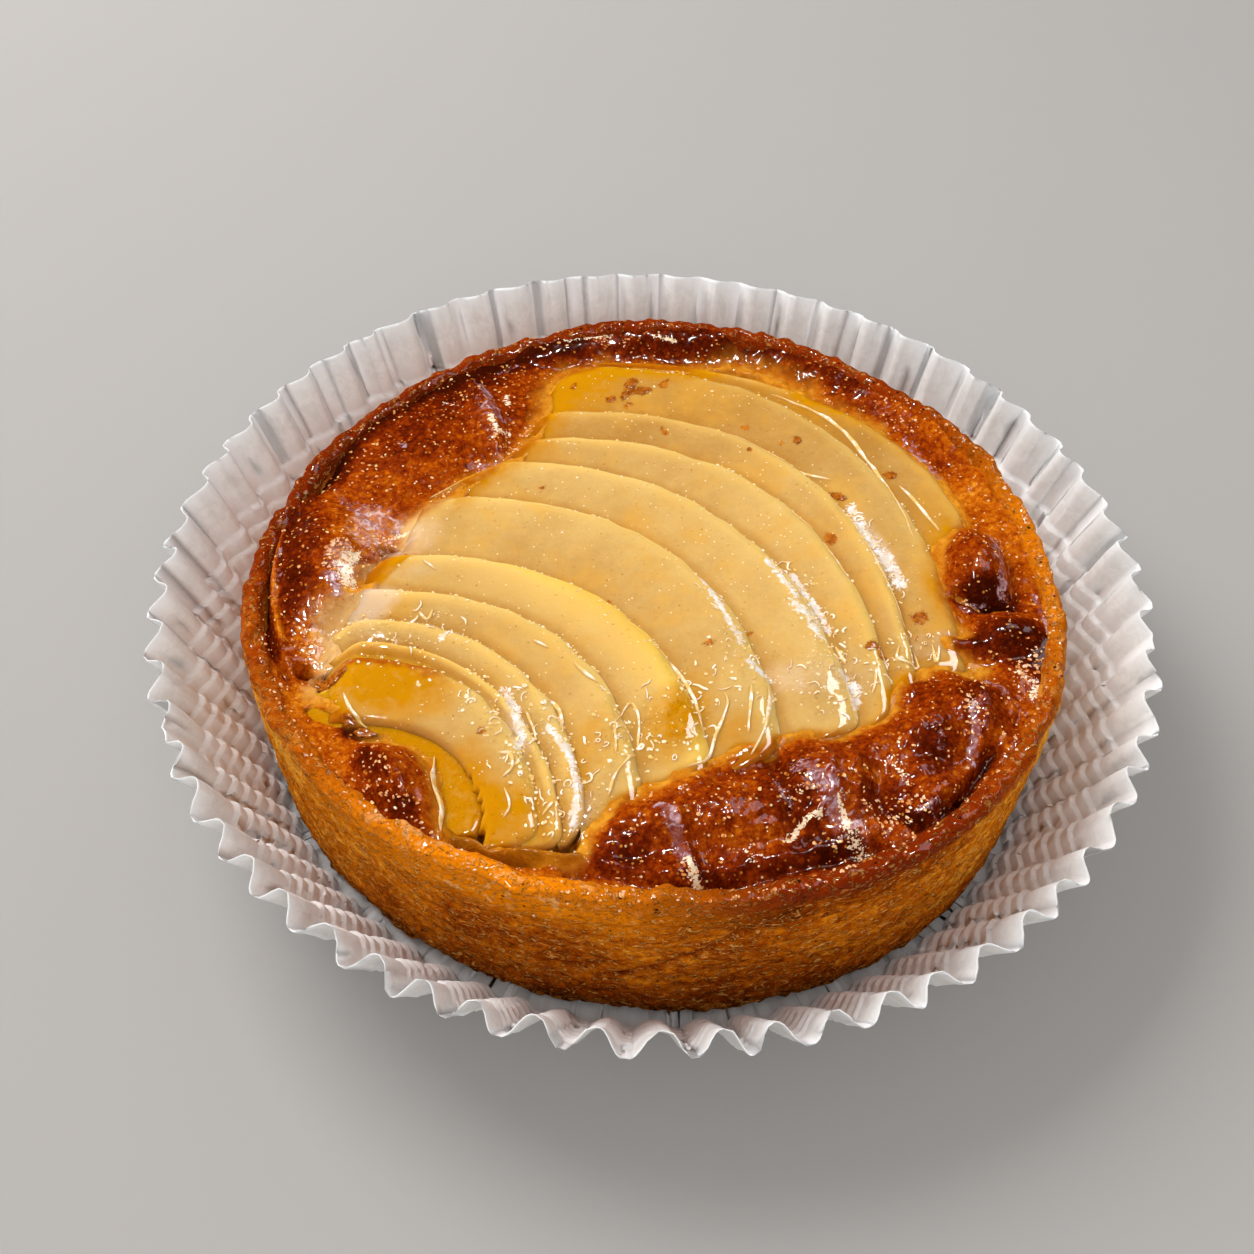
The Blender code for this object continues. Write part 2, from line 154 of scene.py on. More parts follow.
RIDGES = lines(
    (((-44.6, 12.4), (-46.6, 6), (-47.1, -1), (-46.2, -7.5), (-44.2, -13.4)), 0.8, 0.9),
    (((-26, 36), (-23.5, 31), (-21.4, 26), (-21.6, 21.6)), 1.4, 0.7),
    (((36.6, -19), (37.2, -23), (35.8, -27.5)), 1.2, 0.7),
    (((15, -40.2), (16.8, -37.6), (18.6, -35.4), (19, -31)), 1.1, 0.8),
    (((21.6, -30), (21.8, -34.5), (23.4, -38.4)), 1, 0.6),
    (((2, -38.4), (3.2, -41.6), (3.6, -45)), 1.3, 0.9),
    (((-33.6, -29.5), (-30, -31), (-27.6, -35), (-26.6, -38)), 1.1, 0.6),
)

# How much darker or paler the filling is baked there
BROWNINGS = patches(
    (-43, 17.6, 7, 3.6, 62, 0.3), (-31, 26, 11, 6, 55, 0.16), (-26, 35, 6, 4, 40, 0.22),
    (-22.5, 39, 7, 3.6, 30, 0.26), (-19, 32, 6, 4, 80, 0.14), (4, 46.6, 8, 4, -4, 0.1),
    (27.5, 36, 5, 4, -45, 0.12), (42.5, 16, 18, 4.6, -76, -0.2), (39, 22, 5, 2.5, -60, 0.14),
    (-44.4, 3, 10, 4.2, 95, 0.34), (-43.4, -7.5, 6, 3.4, 105, 0.26), (-36.4, 5.5, 6, 4, 80, -0.3),
    (-39.8, -12, 6.5, 3.6, 110, -0.4), (-36, -3.2, 4, 3, 62, -0.12),
    (-39, -25, 10, 4.6, -58, -0.22), (-38.4, -17.6, 1.9, 1.6, 0, 0.6),
    (-33.4, -26.2, 3.2, 1.6, -12, 0.55), (-31, -32.2, 3.6, 2.2, -50, 0.34),
    (-28, -37.4, 4.5, 1.8, -38, 0.34), (-14, -46.2, 14, 2.6, 0, -0.24),
    (-30, -40.6, 9, 2.6, -38, -0.18), (38.4, 3.2, 4.4, 3.6, 80, 0.12),
    (40.4, -3.8, 4.6, 2.6, 8, 0.52), (42.6, -11, 6, 4.2, -12, 0.52),
    (36.4, -11.6, 3.2, 2, -8, 0.3), (46, -15, 7, 2.6, 75, 0.3), (46.2, 4, 9, 2.4, 88, -0.08),
    (37.5, -21.5, 5, 3, -40, 0.18), (30.6, -28, 5, 3, 60, 0.34), (14.2, -34, 7.5, 3.6, -70, 0.34),
    (25.4, -35, 5, 3, -20, 0.3), (18, -41.4, 8, 2.6, 12, 0.42), (5, -43.6, 11, 3, -5, 0.26),
    (-4, -42, 4.6, 2.8, 16, 0.3), (6, -37, 8, 3, 5, 0.08), (22, -27.5, 10, 4, 16, 0.1),
    (33, -20, 8, 5, 15, 0.17), (-32, 28, 12, 7, 55, 0.1),
)
BROWN_LINES = lines(
    (((-46.6, 12), (-43.8, 18), (-40.4, 24), (-36.2, 29.4), (-31, 35), (-26, 39.6),
       (-20, 43), (-12, 46)), 3, 0.42),
    (((-18, 43.6), (-8, 46.4), (4, 47.6), (12, 46.8), (20, 43.6), (28, 39.6)), 4.6, 0.28),
    (((-47.7, 6), (-48, -3), (-46.9, -9), (-44.9, -14.6)), 1.3, 0.34),
    (((-47, 6), (-47.1, -1), (-46, -7.5), (-44.2, -13)), 0.7, -0.42),
    (((27, -37.6), (32.4, -34.6), (35.6, -30.4), (37.6, -27.4)), 1.5, 0.34),
    (((36.5, -4.6), (40, -5.8), (44, -5.4)), 1.6, 0.24),
)
# Pale, milky glaze skin, partly a painted sheen where the wet glaze catches the light
MILKY_AND_SHEEN = patches(
    (-35.6, 6.6, 6.5, 4.4, 80, 1), (-38.8, -1.2, 3.6, 2.2, 90, 1.2),
    (-40, -11.8, 5.4, 2.8, 110, 0.6), (-23, 27, 7, 1.4, 112, 0.55), (-39, 11, 5, 1.6, -45, 0.45),
    (21.6, -37.6, 3.6, 2, -60, 0.5), (18.4, -33.4, 3.6, 2.4, 80, 0.4),
    (42, 3.4, 4.6, 1.4, 85, 0.55), (36.8, -23, 4.4, 1.2, 84, 0.4),
    (44.6, -17.4, 4.4, 1.3, 60, 0.45), (3.2, -43.4, 4, 1.2, -72, 0.4), (32, 33, 8, 2.2, -58, 0.35),
    (14, 44.6, 6, 1.2, -10, 0.3), (-13, 44.6, 5, 1.2, 14, 0.35), (12, -46.8, 10, 1.2, 8, 0.3),
    (-46.6, -2, 9, 1, 95, 0.4),
)

# Where thick glaze on the filling mirrors the room
VIOLET_GLARES = lines(
    (((-24.6, 35.6), (-23.4, 32.4), (-21.8, 28.4)), 1.7, 1.1),
    (((-19.8, 40.8), (-22.4, 39.4)), 0.9, 0.6),
    (((-39.8, 10.6), (-37.4, 8.6), (-35.4, 7.2), (-33, 6.6)), 1.4, 1),
    (((-39.8, -4.4), (-38.4, -6.2)), 1.4, 1), (((-34.6, 22.6), (-33.4, 21.8)), 0.8, 0.7),
    (((-23.6, 19), (-21, 20)), 1.2, 0.8), (((0.6, -37.6), (2, -40), (3.2, -43.4)), 1.5, 1.1),
    (((16, -32), (18.4, -34.6), (19.4, -38.4)), 2.3, 1), (((12.8, -33.6), (14, -36.4)), 1, 0.7),
    (((27.6, -36.4), (30.4, -35.4)), 1.5, 0.8),
    (((35.8, -22.4), (35.6, -25.6), (35, -28.8)), 1.1, 1.1),
    (((30.4, -25.4), (31.6, -27.8)), 1.3, 0.6),
    (((38.6, -17.4), (40.6, -19.6), (42, -21.6)), 1.6, 0.7),
    (((41.6, 5.6), (42.3, 2), (42.6, -1.4), (42, -3.6)), 1.3, 1),
    (((46.2, -3), (46.8, -7), (47, -10.5)), 0.7, 1), (((36.6, -4.4), (40.6, -5)), 0.8, 0.6),
    (((34, 27.4), (36.2, 22.6), (37.6, 18.8)), 1.3, 0.8),
)
CREAM_GLARES = lines(
    (((-37.4, 0.2), (-38.2, -2.2), (-37.4, -4.4)), 2, 1), (((-21, 34), (-20.6, 31.8)), 0.8, 0.9),
    (((-22.6, 27.4), (-21.6, 25.4), (-20, 26)), 0.9, 0.9),
    (((-33.8, 5.4), (-31.6, 6.4)), 0.8, 0.8), (((3.2, -43.2), (4.4, -45.6)), 1, 1),
    (((14, -39.8), (15.4, -38.2), (17.4, -37.4)), 0.8, 1),
    (((20.2, -38.4), (21.8, -40.6), (24.6, -42)), 1.6, 0.7),
    (((19.4, -35.4), (20.2, -38)), 0.7, 0.9),
    (((42.6, -15.6), (44.2, -17.2), (43.4, -19.4)), 1.1, 0.8),
    (((9.4, -41.4), (10.2, -42.6)), 0.7, 0.7),
    (((-13, 45.6), (-9.8, 46.6), (-6.6, 47.2)), 0.8, 0.8), (((-0.6, 47.4), (2.4, 46.8)), 0.7, 0.8),
    (((-29.4, 31.4), (-27.6, 31)), 0.6, 0.7), (((26, -30.4), (27.4, -32.6)), 0.8, 0.6),
)


def smoothly(low, high, value):
    """0 below low, 1 above high and a smooth climb between."""
    share = np.clip((value - low) / (high - low), 0.0, 1.0)
    return share * share * (3.0 - 2.0 * share)


def patch_shape(patch, x, y, power):
    """A dome of height 1 over the patch's ellipse."""
    turn = math.radians(patch.turn)
    along = (x - patch.x) * math.cos(turn) + (y - patch.y) * math.sin(turn)
    across = (y - patch.y) * math.cos(turn) - (x - patch.x) * math.sin(turn)
    reach = (along / patch.long) ** 2 + (across / patch.short) ** 2
    return np.maximum(0.0, 1.0 - reach) ** power


def patch_sum(group, x, y, power):
    """The domes of several patches, each as high as its amount, added up."""
    return sum(patch.amount * patch_shape(patch, x, y, power) for patch in group)


def turned(x, y, turn, u, v):
    """Where a spot u along and v across lies, from a middle x, y turned by some radians."""
    return x + u * math.cos(turn) - v * math.sin(turn), y + u * math.sin(turn) + v * math.cos(turn)


def chance_spots(chance, patch, count=None):
    """Even random spots in a patch's ellipse."""
    far, around = np.sqrt(chance.uniform(0.0, 1.0, count)), chance.uniform(0.0, 2 * math.pi, count)
    return turned(patch.x, patch.y, math.radians(patch.turn),
                  far * np.cos(around) * patch.long, far * np.sin(around) * patch.short)


def lumps(x, y, z, size, seed=0.0):
    """Even noise from about -1 to 1, with lumps about one size across."""
    spots = np.stack([x, y, np.broadcast_to(z, np.shape(x))], axis=-1).reshape(-1, 3) / size + seed
    return np.array([noise.noise(spot) for spot in spots]).reshape(np.shape(x))


def distance_to_line(x, y, line):
    """How far spots lie from an open line of points."""
    nearest = np.full(np.shape(x), 1e9)
    for (x0, y0), (x1, y1) in zip(line[:-1], line[1:]):
        dx, dy = x1 - x0, y1 - y0
        share = np.clip(((x - x0) * dx + (y - y0) * dy) / (dx * dx + dy * dy), 0.0, 1.0)
        nearest = np.minimum(nearest, np.hypot(x - x0 - share * dx, y - y0 - share * dy))
    return nearest


def curve_between(a, b, c, d, t):
    """A smooth curve from b to c, coming from a and going on to d."""
    return 0.5 * (2 * b + (c - a) * t + (2 * a - 5 * b + 4 * c - d) * t ** 2
                  + (3 * b - 3 * c + d - a) * t ** 3)


def smooth_loop(points, steps=6):
    """A closed curve through the points."""
    knots = [np.roll(np.array(points), turn, 0) for turn in (1, 0, -1, -2)]
    curve = np.stack([curve_between(*knots, step / steps) for step in range(steps)], axis=1).reshape(-1, 2)
    return np.vstack([curve, curve[:1]])


SHORE_LINE = smooth_loop(SHORE)


def along_path(path, share):
    """Spots on a smooth curve through a path, its slope there and the straight run there."""
    path = np.array(path)
    knots = np.vstack([2 * path[0] - path[1], path, 2 * path[-1] - path[-2]])
    where = share * (len(path) - 1)
    first = np.minimum(where.astype(int), len(path) - 2)
    t = (where - first)[:, None]
    a, b, c, d = (knots[first + step] for step in range(4))
    slope = 0.5 * (c - a + 2 * (2 * a - 5 * b + 4 * c - d) * t
                   + 3 * (3 * b - 3 * c + d - a) * t ** 2)
    return curve_between(a, b, c, d, t), slope, c - b


def square_to(slope):
    """Unit steps to the left of a slope."""
    return np.stack([-slope[:, 1], slope[:, 0]], axis=-1) / np.linalg.norm(slope, axis=1)[:, None]


def along_line(line, x, y):
    """A soft ridge of height 1 along a line, and 0 past its width."""
    return smoothly(line.width, 0.0, distance_to_line(x, y, line.path))


def line_sum(group, x, y):
    """The ridges of several lines, each as high as its amount, added up."""
    return sum(line.amount * along_line(line, x, y) for line in group)


def craggy(x, y, size, seed=0.0):
    """Rough, billowing noise from 0 to about 1."""
    spots = np.stack([x, y, np.full(np.shape(x), seed)], axis=-1).reshape(-1, 3) / size
    return np.array([noise.turbulence(spot, 4, False, amplitude_scale=0.6, frequency_scale=2.1)
                     for spot in spots]).reshape(np.shape(x))


def depth_inside(x, y):
    """Distance to the shore round the pears: above 0 inside it and below 0 outside."""
    inside = np.zeros(np.shape(x), bool)
    for (x0, y0), (x1, y1) in zip(SHORE_LINE[:-1], SHORE_LINE[1:]):
        if y0 != y1:
            inside ^= ((y0 > y) != (y1 > y)) & (x < (x1 - x0) * (y - y0) / (y1 - y0) + x0)
    return np.where(inside, 1.0, -1.0) * distance_to_line(x, y, SHORE_LINE)


def quarter_round(share):
    """A quarter circle's height, from 0 at 0 to 1 at 1."""
    return np.sqrt(1.0 - (1.0 - np.clip(share, 0.0, 1.0)) ** 2)


# ------------------------------------------------------------------ modelling by hand

def pick(*pieces):
    """Select these pieces alone; the first is the active one."""
    bpy.ops.object.select_all(action="DESELECT")
    for piece in pieces:
        piece.select_set(True)
        bpy.context.view_layer.objects.active = pieces[0]


def new_piece(name):
    """Name the primitive that was just added."""
    piece = bpy.context.object
    piece.name = name
    piece.data.name = name
    return piece


def points_of(piece):
    spots = np.empty(len(piece.data.vertices) * 3)
    piece.data.vertices.foreach_get("co", spots)
    return spots.reshape(-1, 3) / MM


def move_points(piece, spots):
    piece.data.vertices.foreach_set("co", (np.asarray(spots) * MM).ravel())
    piece.data.update()


def paint(piece, **shares):
    """Store numbers for each point of a piece under their names, for its finish to read."""
    for name, values in shares.items():
        values = np.zeros(len(piece.data.vertices), np.float32) + np.asarray(values, np.float32)
        piece.data.attributes.new(name, "FLOAT", "POINT").data.foreach_set("value", values)


def dress(piece, finish, node=None):
    """Give a piece its finish, and hide the solid that it stands for."""
    piece.data.materials.append(finish)
    if node:
        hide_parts(node)
    return piece


def apply_modifier(piece, kind, **settings):
    bpy.context.view_layer.objects.active = piece
    modifier = piece.modifiers.new(kind.lower(), kind)
    for key, value in settings.items():
        setattr(modifier, key, value)
    bpy.ops.object.modifier_apply(modifier=modifier.name)


POLE = 0.01                     # radius of a ring that closes to a point


def lathe(name, columns, profile):
    """Raise a ring of points through (radius, height) steps; a ring of POLE radius closes up."""
    pick()
    radius, height = profile[0]
    bpy.ops.mesh.primitive_circle_add(vertices=columns, radius=radius * MM,
                                      location=(0.0, 0.0, height * MM))
    piece = new_piece(name)
    bpy.ops.object.transform_apply(location=True, rotation=False, scale=False)
    bpy.ops.object.mode_set(mode="EDIT")
    for (radius0, height0), (radius1, height1) in zip(profile[:-1], profile[1:]):
        bpy.ops.mesh.extrude_edges_move()
        scale = radius1 / radius0
        bpy.ops.transform.resize(value=(scale, scale, 1.0), center_override=(0.0, 0.0, 0.0))
        bpy.ops.transform.translate(value=(0.0, 0.0, (height1 - height0) * MM))
    bpy.ops.mesh.select_all(action="SELECT")
    bpy.ops.mesh.remove_doubles(threshold=3 * POLE * MM)
    bpy.ops.mesh.normals_make_consistent(inside=False)
    bpy.ops.object.mode_set(mode="OBJECT")
    return piece


def lay_grid(name, columns, rows, place):
    """Lay a grid over a shape: place takes arrays of column and row shares from 0 to 1."""
    pick()
    bpy.ops.mesh.primitive_grid_add(x_subdivisions=columns, y_subdivisions=rows, size=1.0)
    piece = new_piece(name)
    flat = points_of(piece) * MM
    across = np.rint((flat[:, 0] + 0.5) * columns) / columns
    along = np.rint((flat[:, 1] + 0.5) * rows) / rows
    move_points(piece, place(across, along))
    return piece


def smooth_all(piece):
    pick(piece)
    bpy.ops.object.shade_smooth()


def join_all(pieces, name):
    pick(*pieces)
    bpy.ops.object.join()
    return new_piece(name)


def close_up(piece):
    """Weld the seams of a laid grid, fill its open ends and turn its faces outwards."""
    pick(piece)
    bpy.ops.object.mode_set(mode="EDIT")
    bpy.ops.mesh.select_all(action="SELECT")
    bpy.ops.mesh.remove_doubles(threshold=0.001 * MM)
    bpy.ops.mesh.select_all(action="DESELECT")
    bpy.ops.mesh.select_non_manifold()
    bpy.ops.mesh.fill_holes(sides=0)
    bpy.ops.mesh.select_all(action="SELECT")
    bpy.ops.mesh.normals_make_consistent(inside=False)
    bpy.ops.object.mode_set(mode="OBJECT")
    bpy.ops.object.shade_smooth()
    return piece


# ------------------------------------------------------------------ finishes

class Wire:
    """A number inside a finish. Arithmetic on it adds the Math nodes."""

    def __init__(self, finish, socket):
        self.finish = finish
        self.socket = socket

    def maths(self, operation, first, second=0.0, clamp=False):
        node = self.finish.add("ShaderNodeMath", {"operation": operation, "use_clamp": clamp},
                               {0: first, 1: second})
        return Wire(self.finish, node.outputs[0])

    def __add__(self, other):
        return self.maths("ADD", self, other)

    def __radd__(self, other):
        return self.maths("ADD", other, self)

    def __sub__(self, other):
        return self.maths("SUBTRACT", self, other)

    def __rsub__(self, other):
        return self.maths("SUBTRACT", other, self)

    def __mul__(self, other):
        return self.maths("MULTIPLY", self, other)

    def __rmul__(self, other):
        return self.maths("MULTIPLY", other, self)

    def clipped(self):
        return self.maths("ADD", self, 0.0, clamp=True)

    def most(self, other):
        return self.maths("MAXIMUM", self, other)

    def between(self, low, high):
        """0 below low, 1 above high and a smooth climb between."""
        node = self.finish.add("ShaderNodeMapRange", {"interpolation_type": "SMOOTHSTEP"},
                               {"Value": self, "From Min": low, "From Max": high})
        return Wire(self.finish, node.outputs["Result"])


class Finish:
    """A material, built node by node."""

    def __init__(self, name):
        self.material = bpy.data.materials.new(name)
        self.material.use_nodes = True
        self.tree = self.material.node_tree
        self.shader = self.tree.nodes["Principled BSDF"]
        self.output = self.tree.nodes["Material Output"]
        self.here = self.add("ShaderNodeTexCoord").outputs["Object"]

    def set_socket(self, socket, value):
        if isinstance(value, Wire):
            value = value.socket
        if isinstance(value, bpy.types.NodeSocket):
            self.tree.links.new(value, socket)
        elif hasattr(value, "__len__") and len(value) == 3 and socket.type == "RGBA":
            socket.default_value = (*value, 1.0)
        else:
            socket.default_value = value

    def add(self, kind, settings=None, sockets=None):
        """Add one node: its settings first, then the values or links of its sockets."""
        node = self.tree.nodes.new(kind)
        for key, value in (settings or {}).items():
            setattr(node, key, value)
        for key, value in (sockets or {}).items():
            self.set_socket(node.inputs[key], value)
        return node

    def surface(self, **sockets):
        """Set the shader's own sockets, named with underscores for spaces."""
        for key, value in sockets.items():
            self.set_socket(self.shader.inputs[key.replace("_", " ")], value)

    def painted(self, name):
        node = self.add("ShaderNodeAttribute", {"attribute_name": name})
        return Wire(self, node.outputs["Fac"])

    def height(self):
        """Height above the table in millimetres."""
        node = self.add("ShaderNodeSeparateXYZ", None, {0: self.here})
        return Wire(self, node.outputs["Z"]) * 1000.0

    def stretched(self, x, y, z):
        """Object coordinates scaled along each axis."""
        node = self.add("ShaderNodeMapping", None, {"Vector": self.here, "Scale": (x, y, z)})
        return node.outputs["Vector"]

    def grain(self, size, detail=3.0, roughness=0.55, distortion=0.0, at=None):
        """Cloudy noise from 0 to 1, with lumps about size millimetres across."""
        node = self.add("ShaderNodeTexNoise", None,
                        {"Vector": at or self.here, "Scale": 1000.0 / size, "Detail": detail,
                         "Roughness": roughness, "Distortion": distortion})
        return Wire(self, node.outputs["Fac"])

    def cells(self, size, at=None):
        """Distance to the nearest of scattered dots, in cell sizes."""
        node = self.add("ShaderNodeTexVoronoi", None, {"Vector": at or self.here, "Scale": 1000.0 / size})
        return Wire(self, node.outputs["Distance"])

    def dots(self, size, low, high):
        """1 on scattered dots about size millimetres apart, 0 between them."""
        return 1 - self.cells(size).between(low, high)

    def mix(self, base, *coats):
        """Lay coats over a base one after another, each as (tint, share)."""
        for tint, share in coats:
            base = self.add("ShaderNodeMix", {"data_type": "RGBA"},
                            {0: share, 6: linear(base), 7: linear(tint)}).outputs[2]
        return base

    def ramp(self, value, *stops):
        """A colour for each value: stops are (place, tint)."""
        node = self.add("ShaderNodeValToRGB", None, {"Fac": value})
        while len(node.color_ramp.elements) < len(stops):
            node.color_ramp.elements.new(0.5)
        for element, (place, tint) in zip(node.color_ramp.elements, stops):
            element.position = place
            element.color = (*linear(tint), 1.0)
        return node.outputs["Color"]

    def bump(self, height, depth, strength, normal=None):
        """Relief: depth is in millimetres for a height from 0 to 1."""
        node = self.add("ShaderNodeBump", None,
                        {"Height": height, "Distance": depth * MM, "Strength": strength})
        if normal is not None:
            self.set_socket(node.inputs["Normal"], normal)
        return node.outputs["Normal"]


def linear(tint):
    """A tint as the eye names it, 0 to 255, made linear for the shader; a link stays as it is."""
    if not isinstance(tint, tuple):
        return tint
    shares = [part / 255.0 for part in tint]
    return tuple(s / 12.92 if s <= 0.04045 else ((s + 0.055) / 1.055) ** 2.4 for s in shares)


def baked_filling_finish():
    """Caramelised almond filling under a wet glaze."""
    finish = Finish("baked frangipane")
    milky, thin, pale, melt, hollow, violet, cream = map(
        finish.painted, ("milky", "thin", "pale", "melt", "hollow", "violet", "cream"))
    coarse = finish.grain(3.4, 6.0, 0.62)
    fine = finish.grain(0.8, 4.0, 0.65)
    crumb = finish.grain(0.32, 2.0, 0.5)
    grains = finish.cells(1.1).between(0.10, 0.60)
    patchy = finish.grain(1.5, 5.0, 0.65).between(0.3, 0.7)
    streaks = finish.grain(1.3, 5.0, 0.62, 1.2)
    crust = finish.ramp(
        finish.painted("browning") + (coarse - 0.5) * 0.66 + (fine - 0.5) * 0.80 + (crumb - 0.5) * 0.40
        + (grains - 0.5) * 0.16,
        (0.0, (222, 146, 36)), (0.18, (198, 106, 12)), (0.36, (170, 76, 5)),
        (0.54, (138, 47, 3)), (0.74, (98, 25, 2)), (1.0, (58, 13, 2)))
    film = finish.mix((214, 146, 40), ((186, 102, 12), patchy),
                      (finish.mix((222, 178, 116), ((200, 142, 72), patchy)), pale))
    melted = finish.mix((218, 150, 40), ((190, 108, 14), patchy), ((224, 178, 112), pale))
    gap = finish.mix((146, 84, 8), ((178, 108, 14), coarse.between(0.4, 0.6)))
    specks = finish.dots(0.85, 0.12, 0.26) * finish.grain(1.6, 1.0).between(0.44, 0.56)
    # The violet-white painted sheen over the pale milky glaze skin
    skin = finish.mix((196, 134, 112), ((232, 206, 206), streaks.between(0.45, 0.65)))
    milky_sheen = (milky * 0.9 + (streaks - 0.5) * 2.2).between(0.35, 1.25) * milky.between(0.0, 0.3) * 0.8
    # Painted glints: pale dots over the filling
    glint_dots = finish.dots(1.3, 0.08, 0.14) * finish.grain(2.0, 1.0).between(0.42, 0.55)
    mirror = finish.mix((150, 92, 88), ((212, 184, 196), streaks.between(0.48, 0.66)))
    broken = violet + (streaks - 0.5) * 2.6 + (crumb - 0.5) * 0.9
    violet = broken.between(0.50, 0.95) * violet.between(0.02, 0.2)
    crumbled = cream + (crumb - 0.5) * 2.6 + (fine - 0.5) * 1.4
    cream = crumbled.between(0.58, 0.74) * cream.between(0.02, 0.2)
    body = finish.mix(crust, (film, (thin * (0.45 + fine * 1.1)).clipped()),
                      (melted, melt * 0.85), (gap, hollow),
                      ((232, 148, 52), specks * 0.55), (skin, milky_sheen), ((255, 222, 168), glint_dots * 0.9),
                      (mirror, violet * 0.7), ((255, 228, 192), cream * 0.95))
    relief = finish.bump(finish.grain(1.7, 5.0, 0.65), 0.34, 0.9)
    crumbs = finish.bump(grains, 0.10, 0.9, relief)
    grit = finish.bump(finish.cells(0.55).between(0.06, 0.5) + crumb * 0.6, 0.07, 0.9, crumbs)
    finish.surface(Base_Color=body, Normal=grit, Roughness=0.6, Specular_IOR_Level=0.0,
                   Coat_Weight=(0.17 + milky * 0.7 + violet * 0.6).clipped(), Coat_Roughness=0.12,
                   Coat_IOR=1.46, Subsurface_Weight=0.12, Subsurface_Scale=0.0012,
                   Subsurface_Radius=(1.0, 0.4, 0.1))
    return finish.material


def crust_finish():
    """Shortcrust: sandy gold on the side, darker at the foot and browned on the rim."""
    finish = Finish("shortcrust")
    height = finish.height()
    golden = finish.painted("golden")
    lying = finish.stretched(1.0, 1.0, 2.4)
    flat = finish.stretched(1.0, 1.0, 1.5)
    streaks = finish.grain(2.8, 4.0, 0.58, 0.5, at=lying)
    sand = finish.grain(0.8, 3.0, 0.6)
    cloud = finish.grain(9.0, 3.0, 0.5)
    base = finish.ramp(
        finish.painted("browning") + (streaks - 0.5) * 0.8 + (sand - 0.5) * 0.8 + (cloud - 0.5) * 0.60,
        (0.0, (240, 164, 52)), (0.20, (208, 116, 14)), (0.40, (170, 81, 6)),
        (0.58, (132, 55, 4)), (0.78, (98, 36, 4)), (1.0, (54, 18, 3)))
    holes = ((1 - finish.cells(1.5, at=lying).between(0.07, 0.17))
             * finish.grain(2.4, 1.0).between(0.46, 0.56))
    flakes = finish.grain(0.9, 2.0, 0.5, 0.6, at=flat).between(0.58, 0.68).most(
        finish.grain(0.45, 1.0, 0.5, at=flat).between(0.62, 0.70) * 0.8)
    dashes = finish.grain(1.3, 3.0, 0.6, 0.6, at=finish.stretched(1.0, 1.0, 3.2)).between(0.58, 0.68)
    low = 1 - height.between(1.2, 4.6)
    crumble = finish.grain(1.1, 4.0, 0.75, 0.4)
    foot = finish.ramp(crumble, (0.40, (44, 18, 3)), (0.50, (116, 56, 8)), (0.62, (232, 150, 56)))
    blotches = finish.grain(1.8, 2.0, 0.5).between(0.60, 0.68) * golden.between(0.3, 0.8)
    side = finish.mix(base, ((142, 42, 3), finish.painted("ruddy") * 0.65), (foot, low * 0.8),
                      ((232, 130, 8), (golden * (0.4 + cloud + sand * 0.4)).clipped()),
                      ((232, 166, 84), flakes.most(dashes) * (0.70 - height.between(21.0, 24.0) * 0.35)),
                      ((236, 182, 116), blotches * 0.5), ((48, 20, 4), holes * 0.9))
    relief = finish.bump(streaks, 0.7, 1.0)
    pitted = finish.bump(1 - holes, 0.45, 1.0, relief)
    crumbs = finish.bump(crumble * low, 0.9, 1.0, pitted)
    wet = height.between(21.4, 23.6)
    finish.surface(Base_Color=side, Normal=finish.bump(sand + flakes, 0.34, 1.0, crumbs),
                   Roughness=0.75 - wet * 0.15, Coat_Weight=wet * 0.12, Specular_IOR_Level=0.0,
                   Coat_Roughness=0.10)
    return finish.material


